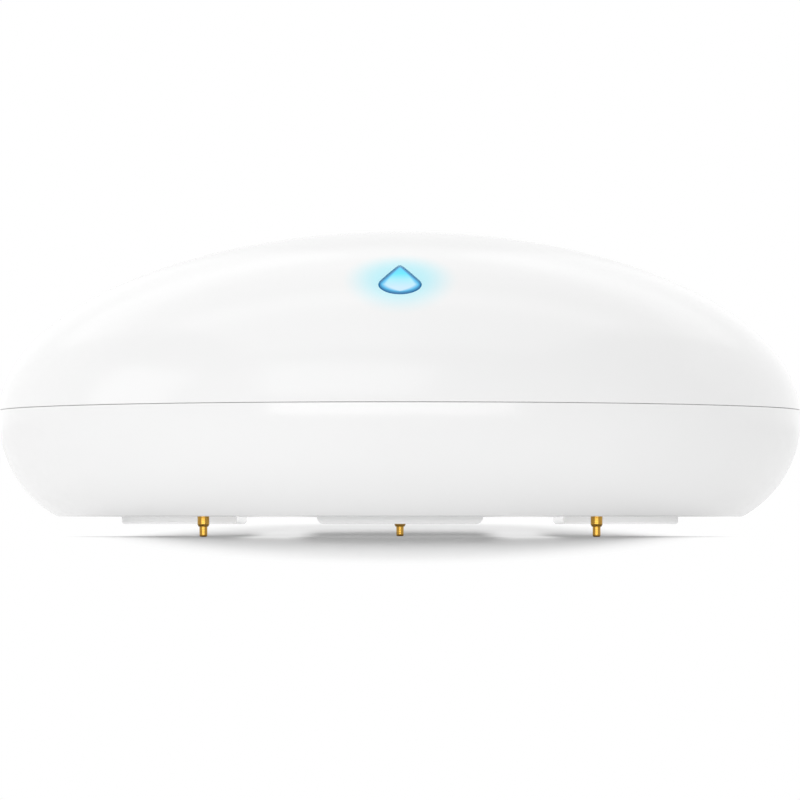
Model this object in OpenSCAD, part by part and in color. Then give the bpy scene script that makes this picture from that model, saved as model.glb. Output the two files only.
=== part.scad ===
// Water leak sensor: a round two-shell casing that stands on three sprung gold probes.
// Millimetres, +Z up, the drop light faces -Y, the floor is z = 0 at the probe tips.

/* [Casing] */
// Diameter of the casing at its widest level
case_d = 72; // [68:1:80]
// Height from the flat underside to the widest level
bowl_h = 8.8; // [8.4:0.1:9.6]
// Height from the widest level to the top of the dome
dome_h = 16.75; // [16:0.25:20]
// Radius of the rounded side of the lower shell
bowl_r = 10; // [9.6:0.1:11]
// Height of the seam above the widest level
seam_rise = 0.7; // [0.4:0.1:1.2]
// Gap between the two shells at the seam
seam_gap = 0.2; // [0.1:0.05:0.3]
// Wall thickness of both shells
wall = 1.8; // [1.5:0.1:2]

/* [Sole] */
// Diameter of the raised sole under the casing
sole_d = 50; // [47:1:52]
// Depth of the sole below the underside
sole_h = 0.65; // [0.4:0.05:0.9]
// Radius of the scallop that frees each probe
scallop_r = 13; // [12:0.5:14]
// Distance of a scallop's centre from the axis
scallop_at = 30; // [29:0.5:31]
// Width of each channel that lets water run under the sole
channel_w = 7.3; // [6:0.1:7.5]
// Distance of a channel's middle from the axis
channel_at = 10.75; // [10.5:0.05:11]
// How far each channel widens downwards on either side
channel_flare = 0.8; // [0.4:0.1:1]

/* [Closure] */
// Thickness of the cover's inner skirt
skirt_t = 1.4; // [1.2:0.1:1.8]
// Depth of the skirt below the cover's rim
skirt_h = 3.4; // [3.2:0.1:4]
// Radial gap between the skirt and the lower shell's wall
skirt_gap = 1; // [0.9:0.05:1.2]
// Thickness of the cover's rim flange
rim_t = 2; // [1.5:0.1:3]
// How far a bayonet lug stands out from the skirt
lug_reach = 0.55; // [0.45:0.05:0.65]
// How far a bayonet catch stands in from the wall
catch_reach = 0.8; // [0.7:0.05:0.85]
// Height of the lugs and of the catches
lug_h = 1.2; // [0.8:0.1:1.3]
// Angle that one lug spans
lug_deg = 14; // [8:1:18]
// Angle that one catch spans
catch_deg = 16; // [8:1:20]
// Gap between a lug and its catch or stop
lug_gap = 0.15; // [0.1:0.05:0.3]
// Height of the cover seal
seal_h = 0.9; // [0.7:0.1:1.2]
// Radial width of the cover seal
seal_w = 1.3; // [1:0.1:1.4]

/* [Drop light] */
// Width of the drop lens
drop_w = 3.6; // [3:0.1:5]
// Length of the drop lens along the slope
drop_l = 6.2; // [5.5:0.1:7]
// Distance of the drop's middle in from the widest edge
drop_inset = 9.8; // [9.4:0.1:11]
// Play between the lens and its hole
lens_play = 0.05; // [0.03:0.01:0.1]
// Width of the flange that holds the lens from inside
flange_w = 0.9; // [0.6:0.1:1.2]
// Thickness of the lens flange
flange_t = 0.6; // [0.4:0.1:0.8]
// Depth of the seat that the lens flange bears on, sunk into the wall
lens_seat = 0.4; // [0.2:0.1:0.6]
// Thickness of the lens seal
lens_seal_t = 0.3; // [0.2:0.05:0.4]
// Side of the square status lamp
led_w = 5; // [4:0.1:5.2]
// Height of the status lamp
led_h = 1.6; // [1:0.1:2]
// Diameter of the light guide's column
guide_d = 4.4; // [3:0.1:5]
// Diameter of the light guide's foot
guide_foot_d = 8; // [7.8:0.1:8.4]
// Gap between the light guide and the lens
guide_gap = 0.5; // [0.4:0.05:1]

/* [Probes] */
// How far the probe tips stand below the underside
probe_reach = 1.8; // [1.6:0.05:2.4]
// Radius of the circle that the probes stand on
probe_circle_r = 20; // [19.5:0.1:21]
// Diameter of a probe barrel
barrel_d = 1.05; // [1:0.01:1.2]
// Height of the barrel's crimped cone
crimp_h = 0.2; // [0.15:0.05:0.3]
// Diameter of a plunger
plunger_d = 0.7; // [0.6:0.01:0.74]
// Play between a plunger and its barrel
plunger_play = 0.02; // [0.01:0.005:0.03]
// Shoulder that keeps the plunger's head in the barrel
head_step = 0.06; // [0.04:0.01:0.07]
// Height of the plunger's head
head_h = 1.3; // [0.8:0.1:1.6]
// Travel of a plunger
probe_travel = 0.85; // [0.5:0.05:0.9]
// Length of a plunger that still stands out when it is pressed in
pin_left = 0.05; // [0.02:0.01:0.1]
// Diameter of the flange that carries a barrel
barrel_flange_d = 3.2; // [2.8:0.1:3.6]
// Thickness of that flange
barrel_flange_t = 0.5; // [0.3:0.1:0.8]
// Diameter of the boss round each probe
probe_boss_d = 4; // [3.8:0.1:4.4]
// Height of that boss above the floor of the shell
probe_boss_h = 1.4; // [1.2:0.1:1.8]
// Thickness of a probe seal
probe_seal_d = 0.66; // [0.5:0.02:0.7]
// Thickness of the probe spring's wire
probe_wire_d = 0.1; // [0.06:0.02:0.14]

/* [Board] */
// Gap between the board and the cover's skirt
board_gap = 1.8; // [1:0.1:2.2]
// Thickness of the board
board_t = 1.6; // [1.2:0.1:2]
// Height of the board above the floor of the shell
board_lift = 3.8; // [3.4:0.1:4.2]
// Gap between the board's window and what stands in it
window_gap = 0.6; // [0.4:0.1:0.8]
// Diameter of the screws' shanks
screw_d = 2; // [1.6:0.1:2.2]
// Diameter of the screws' heads
screw_head_d = 3.8; // [3.4:0.1:4]
// Height of the screws' heads
screw_head_h = 1.3; // [1:0.1:1.4]
// Diameter of the posts under the board
post_d = 4.6; // [4:0.1:5]
// Distance of the board screws in from the board's edge
post_inset = 4; // [3.6:0.1:4.4]

/* [Battery] */
// Diameter of the battery
battery_d = 17; // [16.6:0.1:17.2]
// Length of the battery with its nub
battery_l = 34.5; // [33.5:0.1:35]
// Diameter of the positive nub
nub_d = 6.6; // [5:0.1:7]
// Height of the positive nub
nub_h = 0.9; // [0.6:0.1:1.2]
// Wall thickness of the battery's can
can_t = 0.3; // [0.2:0.05:0.4]
// Thickness of the battery's sleeve
sleeve_t = 0.15; // [0.1:0.05:0.2]
// Depth of the battery's gasket
cell_gasket_h = 1.2; // [1:0.1:1.6]
// Play between the battery and its holder
battery_play = 0.15; // [0.1:0.05:0.3]
// Thickness of the holder under the battery
holder_floor = 0.9; // [0.7:0.1:1.2]
// Thickness of the holder's end walls
holder_wall = 2; // [1.6:0.1:2.2]
// Width of the holder's end walls
holder_end_w = 14; // [12:0.5:14.5]
// Height of the holder's end walls
holder_end_h = 12.5; // [11:0.5:13]
// Length of the holder's screw tabs
tab_l = 5; // [4.6:0.1:5.4]
// Thickness of the holder's screw tabs
tab_t = 1.2; // [1:0.1:1.4]
// Thickness of the contacts' sheet metal
contact_t = 0.4; // [0.3:0.05:0.5]
// Width of the contacts
contact_w = 8; // [7:0.5:9]
// Room for the negative contact's spring
contact_room = 2.5; // [2.2:0.1:2.8]
// Thickness of the contact spring's wire
contact_wire_d = 0.6; // [0.4:0.1:0.7]
// Gap between the battery and the cover's hold-down ring
hold_down_gap = 0.4; // [0.3:0.1:0.6]

/* [Board parts] */
// Diameter of the buzzer
buzzer_d = 14; // [12:0.5:14.5]
// Height of the buzzer
buzzer_h = 4.5; // [4:0.5:6]
// Wall of the buzzer's case
buzzer_wall = 0.8; // [0.6:0.1:1]
// Side of the service switch
switch_w = 6; // [5:0.5:7]
// Height of the service switch
switch_h = 3.4; // [3:0.1:4]
// Diameter of the service button
button_d = 3.4; // [2.5:0.1:4]
// Play between the service button and its switch
button_play = 0.1; // [0.05:0.05:0.2]
// Height of the button above the switch
button_rise = 1.4; // [1:0.1:2]
// Travel of the service button
button_travel = 0.3; // [0.2:0.05:0.4]
// Length of the radio board
radio_l = 15; // [13:0.5:15]
// Width of the radio board
radio_w = 12; // [11:0.5:12]
// Thickness of the radio board
radio_t = 0.8; // [0.6:0.1:1.2]
// Height of the radio shield
shield_h = 2.2; // [1.6:0.1:3]
// Sheet thickness of the radio shield
shield_t = 0.3; // [0.2:0.05:0.4]
// Side of the controller chip
chip_w = 7; // [5:0.5:8]
// Height of the controller chip
chip_h = 1.2; // [0.8:0.1:1.6]
// Number of leads on each side of the chip
chip_leads = 8; // [4:1:10]
// Mean radius of the antenna coil
antenna_r = 2.5; // [1.8:0.1:2.6]
// Thickness of the antenna wire
antenna_wire_d = 0.8; // [0.5:0.1:0.9]
// Turns of the antenna coil
antenna_turns = 5; // [3:1:6]
// Gap between the antenna's top and the dome above it
antenna_gap = 1; // [0.6:0.1:3]
// Diameter of the capacitor
capacitor_d = 6.3; // [5:0.1:6.4]
// Height of the capacitor
capacitor_h = 6; // [5:0.5:7]
// Diameter of the tilt sensor
tilt_d = 4.6; // [4:0.1:5]
// Height of the tilt sensor
tilt_h = 5; // [4:0.5:6]
// Length of the crystal
crystal_l = 8; // [6:0.5:8.5]
// Width of the crystal
crystal_w = 3.5; // [3:0.1:4]
// Height of the crystal
crystal_h = 2.6; // [2:0.1:3.5]
// Diameter of the thermistor's bead
bead_d = 1.8; // [1.4:0.1:2.2]
// Height of the thermistor's leads
lead_h = 4; // [3:0.5:5]

/* [Hidden] */
$fn = 96;

// Levels
case_r = case_d / 2;
z_under = probe_reach;
z_sole = z_under - sole_h;
channel_foot_w = channel_w + 2 * channel_flare;
z_floor = z_under + wall;
z_wide = z_under + bowl_h;
z_seam = z_wide + seam_rise;
z_top = z_wide + dome_h;
z_base_rim = z_seam - seam_gap / 2;
z_cover_rim = z_seam + seam_gap / 2;
z_board = z_floor + board_lift;
z_parts = z_board + board_t;
cut = 1;

// Closure
skirt_r = case_r - wall - skirt_gap;
skirt_in_r = skirt_r - skirt_t;
z_skirt = z_cover_rim - skirt_h;
z_seal = z_skirt - seal_h;
seal_gap = 0.05;
seal_foot = 0.4 * seal_h;
ledge_t = 1;
ledge_drop = 2;
ledge_lip = 0.4;
ledge_in_r = skirt_r - seal_w - ledge_lip;
catch_in_r = case_r - wall - catch_reach;
bevel = 0.3;
z_catch = z_base_rim - lug_h - 0.3;
z_lug = z_catch - lug_gap - lug_h;
lug_angles = [30, 150, 270];
stop_deg = 2;
stop_gap_deg = 0.5;

// Drop light
drop_r = case_r - drop_inset;
drop_fall = sqrt(1 - pow(drop_r / case_r, 2));
drop_z = z_wide + dome_h * drop_fall;
drop_tilt = atan(dome_h / case_r * drop_r / case_r / drop_fall);
drop_steps = 30;
z_lens_seat = lens_seat - wall;
z_lens_flange = z_lens_seat - lens_seal_t - flange_t;
guide_y = -drop_r - z_lens_flange * sin(drop_tilt);
guide_pocket_h = led_h + 0.3;

// Probes, left and right in front and one at the rear
probe_angles = [210, 330, 90];
z_mouth = probe_travel + pin_left;
z_crimp = z_mouth + crimp_h;
mouth_d = plunger_d + 2 * plunger_play;
head_d = mouth_d + 2 * head_step;
barrel_bore_d = head_d + 2 * plunger_play;
z_head = z_crimp + plunger_play;
z_boss = z_floor + probe_boss_h;
z_barrel_end = z_board - 0.8;
tip_bevel = 0.12;
barrel_hole_play = 0.05;
seal_pocket_d = barrel_d + 2 * probe_seal_d + 0.2;
seal_pocket_h = probe_seal_d + 0.04;
probe_coils = 9;

// Board
board_r = skirt_in_r - board_gap;
post_r = board_r - post_inset;
post_angles = [34, 146, 214, 326];
screw_play = 0.03;
screw_hole_play = 0.2;
board_screw_bite = 3.2;
tab_screw_bite = 1.5;

// Battery, lying along X
battery_r = battery_d / 2;
z_battery = z_floor + holder_floor + battery_play + battery_r;
can_r = battery_r - sleeve_t;
can_l = battery_l - nub_h;
x_minus = -battery_l / 2;
x_plus = battery_l / 2;
x_minus_wall = x_minus - contact_room - contact_t;
x_plus_wall = x_plus + contact_t;
x_holder_low = x_minus_wall - holder_wall;
x_holder_high = x_plus_wall + holder_wall;
window_half = sqrt(pow(battery_r, 2) - pow(z_battery - z_parts, 2)) + window_gap;
saddle_half = window_half - window_gap;
saddle_h = z_board - z_floor;
cap_flange_t = 0.5;
cap_flange_r = nub_d / 2 + 2;
foot_w = 2.4;

// Board parts, placed from the board's window
front_y = -window_half;
rear_y = window_half;
chip_at = [-10.5, front_y - 1.6 - chip_w / 2 - 1];
switch_at = [11, front_y - 2 - switch_w / 2 - 1.5];
crystal_at = [0.5, front_y - 2 - crystal_w / 2];
buzzer_at = [-11.5, rear_y + 1.6 + buzzer_d / 2];
radio_at = [9.1, rear_y + 1.6 + radio_w / 2];
window_end = x_holder_high + window_gap;
antenna_at = [window_end + 0.42 * (board_r - window_end), 0];
antenna_edge_r = antenna_at.x + antenna_r + antenna_wire_d / 2;
antenna_leg_h = 1.4;
antenna_top = z_wide + (dome_h - wall) * sqrt(1 - pow(antenna_edge_r / (case_r - wall), 2)) - antenna_gap;
antenna_pitch = (antenna_top - z_parts - antenna_leg_h - antenna_wire_d / 2) / antenna_turns;
capacitor_at = [x_holder_low - window_gap - 0.4 - capacitor_d / 2, 0];
tilt_at = [17.6, -18.6];
thermistor_at = [-17.5, -20.5];
chip_part_size = [1.6, 0.8, 0.6];
chip_part_at = [
    [-4.5, -19.5, 0], [-4.5, -17.5, 0], [-1.6, -16.8, 90], [3, -16, 0], [3.4, -18.2, 0], [-16.5, -13, 90],
    [-16.5, -15.6, 90], [5.8, -14.6, 90], [0, 11.5, 0], [0, 13.5, 0], [-2, 25.5, 90], [1, 26, 90]
];

function unit(v) = v / norm(v);

// Centre line of a wire wound about Z
function coil_path(r_start, r_end, z_start, z_end, turns, steps) = [
    for (i = [0 : turns * steps])
        let (
            t = i / (turns * steps),
            r = r_start + (r_end - r_start) * t,
            a = 360 * turns * t
        )
        [r * cos(a), r * sin(a), z_start + (z_end - z_start) * t]
];

// Round wire along a path that goes about Z
module wire(path, wire_r, sides) {
    count = len(path);
    points = [
        for (i = [0 : count - 1])
            let (
                p = path[i],
                along = unit(path[min(i + 1, count - 1)] - path[max(i - 1, 0)]),
                side = unit(cross(along, [p.x, p.y, 0])),
                out = cross(side, along)
            )
            for (s = [0 : sides - 1])
                p + wire_r * (cos(360 * s / sides) * out + sin(360 * s / sides) * side)
    ];
    skin = [
        for (i = [0 : count - 2])
            for (s = [0 : sides - 1])
                let (
                    a = i * sides + s,
                    b = i * sides + (s + 1) % sides
                )
                each [[a, b + sides, b], [a, a + sides, b + sides]]
    ];
    start_cap = [for (s = [1 : sides - 2]) [0, s, s + 1]];
    last = (count - 1) * sides;
    end_cap = [for (s = [1 : sides - 2]) [last, last + s + 1, last + s]];
    polyhedron(points = points, faces = concat(skin, start_cap, end_cap));
}

module at_probe(i) {
    rotate(probe_angles[i]) translate([probe_circle_r, 0, 0]) children();
}

module at_drop() {
    translate([0, -drop_r, drop_z]) rotate([drop_tilt, 0, 0]) children();
}

module along_battery(x) {
    translate([x, 0, z_battery]) rotate([0, 90, 0]) children();
}

// Half outline of the lower shell, drawn in from its outside by inset
module bowl_half(inset, z_low, z_high) {
    intersection() {
        translate([case_r - bowl_r, z_wide]) circle(r = bowl_r - inset);
        translate([case_r - bowl_r, z_low]) square([bowl_r, z_wide - z_low]);
    }
    translate([0, z_low]) square([case_r - bowl_r, z_wide - z_low]);
    translate([0, z_wide]) square([case_r - inset, z_high - z_wide]);
}

// Half outline of the dome above z_low, drawn in from its outside by inset
module dome_half(inset, z_low) {
    intersection() {
        translate([0, z_wide]) scale([1, (dome_h - inset) / (case_r - inset)]) circle(r = case_r - inset);
        translate([0, z_low]) square([case_r, dome_h]);
    }
}

// Drop with its point up the slope, grown all round
module drop_outline(grow) {
    r = drop_w / 2 + grow;
    y_round = (drop_w - drop_l) / 2;
    flank = asin(drop_w / 2 / (drop_l - drop_w / 2));
    sweep = 180 + 2 * flank;
    tip = [0, y_round + r / sin(flank)];
    arc = [
        for (i = [0 : drop_steps])
            let (a = 180 - flank + sweep * i / drop_steps)
            [r * cos(a), y_round + r * sin(a)]
    ];
    polygon(concat([tip], arc));
}

// Ring segment with a bevelled section, for the bayonet
module bayonet_segment(r_tip, r_root, z_low, angle) {
    b = bevel * sign(r_root - r_tip);
    rotate(-angle / 2)
        rotate_extrude(angle = angle)
            polygon([
                [r_tip, z_low + bevel], [r_tip, z_low + lug_h - bevel], [r_tip + b, z_low + lug_h],
                [r_root, z_low + lug_h], [r_root, z_low], [r_tip + b, z_low]
            ]);
}

// Raised sole, parted into three lobes by two channels, with a scallop at each probe
module sole() {
    difference() {
        translate([0, 0, z_sole]) cylinder(d = sole_d, h = sole_h + wall / 2);
        for (a = probe_angles)
            rotate(a) translate([scallop_at, 0, z_sole - cut]) cylinder(r = scallop_r, h = sole_h + cut);
        for (side = [-1, 1])
            translate([side * channel_at, 0, 0])
                rotate([90, 0, 0])
                    linear_extrude(height = case_d, center = true)
                        polygon([
                            [-channel_w / 2, z_under], [channel_w / 2, z_under],
                            [channel_foot_w / 2, z_sole], [channel_foot_w / 2, z_sole - cut],
                            [-channel_foot_w / 2, z_sole - cut], [-channel_foot_w / 2, z_sole]
                        ]);
    }
}

// Lower shell: bowl, sole, seal ledge, posts, probe bosses and bayonet catches
module base_shell() {
    color("white")
    difference() {
        union() {
            rotate_extrude()
                difference() {
                    bowl_half(0, z_under, z_base_rim);
                    difference() {
                        bowl_half(wall, z_floor, z_base_rim + cut);
                        polygon([
                            [ledge_in_r, z_seal], [case_r, z_seal],
                            [case_r, z_seal - ledge_t - ledge_drop], [ledge_in_r, z_seal - ledge_t]
                        ]);
                    }
                }
            sole();
            for (a = post_angles)
                rotate(a)
                    translate([post_r, 0, z_floor - wall / 2])
                        cylinder(d = post_d, h = board_lift + wall / 2);
            for (i = [0 : 2])
                at_probe(i)
                    translate([0, 0, z_floor - wall / 2])
                        cylinder(d = probe_boss_d, h = probe_boss_h + wall / 2);
            for (a = lug_angles)
                rotate(a) {
                    bayonet_segment(catch_in_r, case_r - wall / 2, z_catch, catch_deg);
                    rotate(-lug_deg / 2 - stop_gap_deg - stop_deg)
                        rotate_extrude(angle = stop_deg)
                            translate([catch_in_r, z_lug])
                                square([case_r - wall / 2 - catch_in_r, z_catch + lug_h / 2 - z_lug]);
                }
        }
        for (i = [0 : 2])
            at_probe(i) {
                translate([0, 0, z_sole - cut])
                    cylinder(d = barrel_d + 2 * barrel_hole_play, h = z_boss - z_sole + 2 * cut);
                translate([0, 0, z_boss - seal_pocket_h])
                    cylinder(d = seal_pocket_d, h = seal_pocket_h + cut);
            }
        for (a = post_angles)
            rotate(a)
                translate([post_r, 0, z_board - board_screw_bite - screw_play])
                    cylinder(d = screw_d + 2 * screw_play, h = board_screw_bite + cut);
        for (x = [x_holder_low - tab_l / 2, x_holder_high + tab_l / 2])
            translate([x, 0, z_floor - tab_screw_bite - screw_play])
                cylinder(d = screw_d + 2 * screw_play, h = tab_screw_bite + cut);
    }
}

// Upper shell: elliptical dome, rim flange, skirt, lugs, hold-down ring and drop-shaped hole
module cover_shell() {
    color("white")
    difference() {
        union() {
            rotate_extrude() {
                difference() {
                    dome_half(0, z_cover_rim);
                    dome_half(wall, z_cover_rim + rim_t);
                    translate([0, z_cover_rim - cut]) square([skirt_in_r, rim_t + 2 * cut]);
                }
                translate([skirt_in_r, z_skirt]) square([skirt_t, z_cover_rim + rim_t / 2 - z_skirt]);
            }
            rotate_extrude()
                translate([nub_d, z_battery + battery_r + hold_down_gap])
                    square([skirt_t, z_top - wall - z_battery - battery_r - hold_down_gap]);
            for (a = lug_angles)
                rotate(a) bayonet_segment(skirt_r + lug_reach, skirt_r - skirt_t / 2, z_lug, lug_deg);
        }
        at_drop() {
            translate([0, 0, -2 * wall]) linear_extrude(height = 4 * wall) drop_outline(lens_play);
            translate([0, 0, z_lens_seat - 2 * wall])
                linear_extrude(height = 2 * wall) drop_outline(flange_w + 2 * lens_play);
        }
    }
}

// Drop-shaped window, flush with the dome, with a flange inside
module drop_lens() {
    color("deepskyblue") {
        intersection() {
            at_drop() translate([0, 0, z_lens_flange]) linear_extrude(height = 3 * wall) drop_outline(0);
            rotate_extrude() dome_half(0, z_wide);
        }
        at_drop() translate([0, 0, z_lens_flange]) linear_extrude(height = flange_t) drop_outline(flange_w);
    }
}

module lens_seal() {
    color("gainsboro")
        at_drop()
            translate([0, 0, z_lens_flange + flange_t])
                linear_extrude(height = lens_seal_t)
                    difference() {
                        drop_outline(flange_w);
                        drop_outline(lens_play);
                    }
}

// Flat-footed ring with a round back, lying on the lower shell's ledge
module cover_seal() {
    half = seal_w / 2;
    crown = seal_h - seal_foot - seal_gap;
    color("dimgray")
        rotate_extrude()
            translate([skirt_r - half, z_seal]) {
                translate([-half, 0]) square([seal_w, seal_foot]);
                translate([0, seal_foot])
                    intersection() {
                        scale([1, crown / half]) circle(r = half);
                        translate([-half, 0]) square([seal_w, crown]);
                    }
            }
}

// Crimped sleeve of a sprung probe, with its flange and bore
module probe_barrel(i) {
    r = barrel_d / 2;
    flange_r = barrel_flange_d / 2;
    color("goldenrod")
        at_probe(i)
            rotate_extrude()
                polygon([
                    [mouth_d / 2, z_mouth], [head_d / 2, z_mouth], [r, z_crimp], [r, z_boss],
                    [flange_r, z_boss], [flange_r, z_boss + barrel_flange_t], [r, z_boss + barrel_flange_t],
                    [r, z_board], [0, z_board], [0, z_barrel_end],
                    [barrel_bore_d / 2, z_barrel_end], [barrel_bore_d / 2, z_crimp], [mouth_d / 2, z_crimp]
                ]);
}

// Pin that slides in the barrel and touches the floor
module probe_plunger(i) {
    r = plunger_d / 2;
    color("gold")
        at_probe(i)
            rotate_extrude()
                polygon([
                    [0, 0], [r - tip_bevel, 0], [r, tip_bevel], [r, z_head],
                    [head_d / 2, z_head], [head_d / 2, z_head + head_h], [0, z_head + head_h]
                ]);
}

module probe_spring(i) {
    wire_r = probe_wire_d / 2;
    coil_r = head_d / 2 - wire_r - plunger_play;
    z_low = z_head + head_h + wire_r;
    z_high = z_barrel_end - wire_r;
    color("silver")
        at_probe(i)
            wire(coil_path(coil_r, coil_r, z_low, z_high, probe_coils, 8), wire_r, 4);
}

// Rubber rings in the pockets of the probe bosses
module probe_seals() {
    seal_r = barrel_d / 2 + probe_seal_d / 2 + barrel_hole_play;
    color("dimgray")
        for (i = [0 : 2])
            at_probe(i)
                translate([0, 0, z_boss - seal_pocket_h / 2])
                    rotate_extrude() translate([seal_r, 0]) circle(d = probe_seal_d);
}

// Round board with a window for the battery and its holder
module main_board() {
    color("seagreen")
    difference() {
        translate([0, 0, z_board]) cylinder(r = board_r, h = board_t);
        translate([x_holder_low - window_gap, -window_half, z_board - cut])
            cube([x_holder_high - x_holder_low + 2 * window_gap, 2 * window_half, board_t + 2 * cut]);
        for (a = post_angles)
            rotate(a)
                translate([post_r, 0, z_board - cut])
                    cylinder(d = screw_d + 2 * screw_hole_play, h = board_t + 2 * cut);
    }
}

// Pan-head screw standing on z = 0, its shank pointing down
module screw(shank_l) {
    head_r = screw_head_d / 2;
    taper = screw_d / 4;
    slot_w = screw_d / 5;
    difference() {
        rotate_extrude()
            polygon([
                [0, screw_head_h], [head_r - taper, screw_head_h], [head_r, screw_head_h - taper],
                [head_r, 0], [screw_d / 2, 0], [screw_d / 2, taper - shank_l],
                [screw_d / 2 - taper, -shank_l], [0, -shank_l]
            ]);
        for (a = [0, 90])
            rotate(a)
                translate([-screw_d / 2, -slot_w / 2, screw_head_h / 2])
                    cube([screw_d, slot_w, screw_head_h]);
    }
}

module board_screws() {
    color("silver")
        for (a = post_angles)
            rotate(a) translate([post_r, 0, z_parts]) screw(board_t + board_screw_bite);
}

// Cradle with two end walls and two screw tabs, lying on the floor of the lower shell
module battery_holder() {
    end_z = z_floor + holder_end_h;
    color("dimgray")
    difference() {
        union() {
            translate([x_holder_low, -saddle_half, z_floor])
                cube([x_holder_high - x_holder_low, 2 * saddle_half, saddle_h]);
            for (x = [x_holder_low, x_plus_wall])
                translate([x, 0, 0])
                    rotate([90, 0, 90])
                        linear_extrude(height = holder_wall)
                            polygon([
                                [-holder_end_w / 2, z_floor], [holder_end_w / 2, z_floor],
                                [holder_end_w / 2, end_z - 3], [holder_end_w / 2 - 3, end_z],
                                [3 - holder_end_w / 2, end_z], [-holder_end_w / 2, end_z - 3]
                            ]);
            for (x = [x_holder_low - tab_l, x_holder_high])
                translate([x, -tab_l / 2, z_floor]) cube([tab_l, tab_l, tab_t]);
        }
        along_battery(x_minus_wall) cylinder(r = battery_r + battery_play, h = x_plus_wall - x_minus_wall);
        for (x = [x_holder_low - tab_l / 2, x_holder_high + tab_l / 2])
            translate([x, 0, z_floor - cut])
                cylinder(d = screw_d + 2 * screw_hole_play, h = tab_t + 2 * cut);
    }
}

module holder_screws() {
    color("silver")
        for (x = [x_holder_low - tab_l / 2, x_holder_high + tab_l / 2])
            translate([x, 0, z_floor + tab_t]) screw(tab_t + tab_screw_bite);
}

// Sheet-metal contact: a plate on an end wall, an arm past its edge and a foot on the board
module contact(x, foot_x) {
    plate_h = holder_end_h - holder_floor - foot_w;
    arm_y = window_half + foot_w;
    translate([x, 0, 0])
        rotate([90, 0, 90])
            linear_extrude(height = contact_t)
                polygon([
                    [-contact_w / 2, z_floor + foot_w], [contact_w / 2, z_floor + foot_w],
                    [contact_w / 2, z_parts + foot_w / 2], [window_half, z_parts + foot_w / 2],
                    [window_half, z_parts], [arm_y, z_parts], [arm_y, z_parts + 2 * foot_w],
                    [contact_w / 2, z_parts + 2 * foot_w], [contact_w / 2, z_floor + foot_w + plate_h],
                    [-contact_w / 2, z_floor + foot_w + plate_h]
                ]);
    translate([foot_x, window_half, z_parts]) cube([foot_w, foot_w, contact_t]);
}

module contact_positive() {
    color("silver") contact(x_plus, x_plus);
}

module contact_negative() {
    color("silver") contact(x_minus_wall, x_minus_wall + contact_t - foot_w);
}

// Conical spring between the negative contact and the battery
module contact_spring() {
    wire_r = contact_wire_d / 2;
    color("silver")
        along_battery(x_minus_wall + contact_t)
            wire(coil_path(contact_w / 2 - 0.4, 1.6, wire_r, contact_room - wire_r, 3, 14), wire_r, 6);
}

module battery_can() {
    color("lightgray")
        along_battery(x_minus)
            rotate_extrude()
                polygon([
                    [0, 0], [can_r, 0], [can_r, can_l],
                    [can_r - can_t, can_l], [can_r - can_t, can_t], [0, can_t]
                ]);
}

module battery_core() {
    color("darkgray")
        along_battery(x_minus + can_t)
            cylinder(r = can_r - can_t, h = can_l - can_t - cell_gasket_h - cap_flange_t);
}

module battery_gasket() {
    mouth = cell_gasket_h + cap_flange_t;
    color("black")
        along_battery(x_minus + can_l - cell_gasket_h - cap_flange_t)
            rotate_extrude()
                polygon([
                    [cap_flange_r, 0], [can_r - can_t, 0], [can_r - can_t, mouth],
                    [nub_d / 2, mouth], [nub_d / 2, cap_flange_t], [cap_flange_r, cap_flange_t]
                ]);
}

module battery_cap() {
    nub_top = cell_gasket_h + cap_flange_t + nub_h;
    color("lightgray")
        along_battery(x_minus + can_l - cell_gasket_h - cap_flange_t)
            rotate_extrude()
                polygon([
                    [0, 0], [cap_flange_r, 0], [cap_flange_r, cap_flange_t],
                    [nub_d / 2, cap_flange_t], [nub_d / 2, nub_top], [0, nub_top]
                ]);
}

module battery_sleeve() {
    color("midnightblue")
        along_battery(x_minus + sleeve_t)
            difference() {
                cylinder(r = battery_r, h = can_l - 2 * sleeve_t);
                translate([0, 0, -cut]) cylinder(r = can_r, h = can_l + 2 * cut);
            }
}

// Square lamp with a round reflector cup
module status_lamp() {
    color("white")
        translate([0, guide_y, z_parts])
            difference() {
                translate([-led_w / 2, -led_w / 2, 0]) cube([led_w, led_w, led_h]);
                translate([0, 0, led_h - 0.5]) cylinder(d1 = led_w * 0.6, d2 = led_w * 0.8, h = 0.5 + 0.01);
            }
}

// Clear column on a foot that straddles the lamp, its top parallel to the dome
module light_guide() {
    color("whitesmoke")
    difference() {
        translate([0, guide_y, z_parts]) {
            cylinder(d = guide_foot_d, h = guide_pocket_h + 0.8);
            cylinder(d = guide_d, h = drop_z - z_parts);
        }
        translate([-led_w / 2 - 0.2, guide_y - led_w / 2 - 0.2, z_parts - cut])
            cube([led_w + 0.4, led_w + 0.4, guide_pocket_h + cut]);
        at_drop()
            translate([-guide_foot_d, -guide_foot_d, z_lens_flange - guide_gap])
                cube([2 * guide_foot_d, 2 * guide_foot_d, guide_foot_d]);
    }
}

// Can with a sound hole, open below, with a step that carries the disc
module buzzer_case() {
    r = buzzer_d / 2;
    step = buzzer_wall + 0.6;
    color("black")
        translate([buzzer_at.x, buzzer_at.y, z_parts])
            rotate_extrude()
                polygon([
                    [r - step, 0], [r, 0], [r, buzzer_h - 0.4], [r - 0.4, buzzer_h], [1, buzzer_h],
                    [1, buzzer_h - buzzer_wall], [r - buzzer_wall, buzzer_h - buzzer_wall],
                    [r - buzzer_wall, buzzer_h / 3], [r - step, buzzer_h / 3]
                ]);
}

module buzzer_disc() {
    color("goldenrod")
        translate([buzzer_at.x, buzzer_at.y, z_parts + buzzer_h / 3]) {
            cylinder(r = buzzer_d / 2 - buzzer_wall - 0.05, h = 0.25);
            cylinder(r = buzzer_d / 3, h = 0.45);
        }
}

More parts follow.
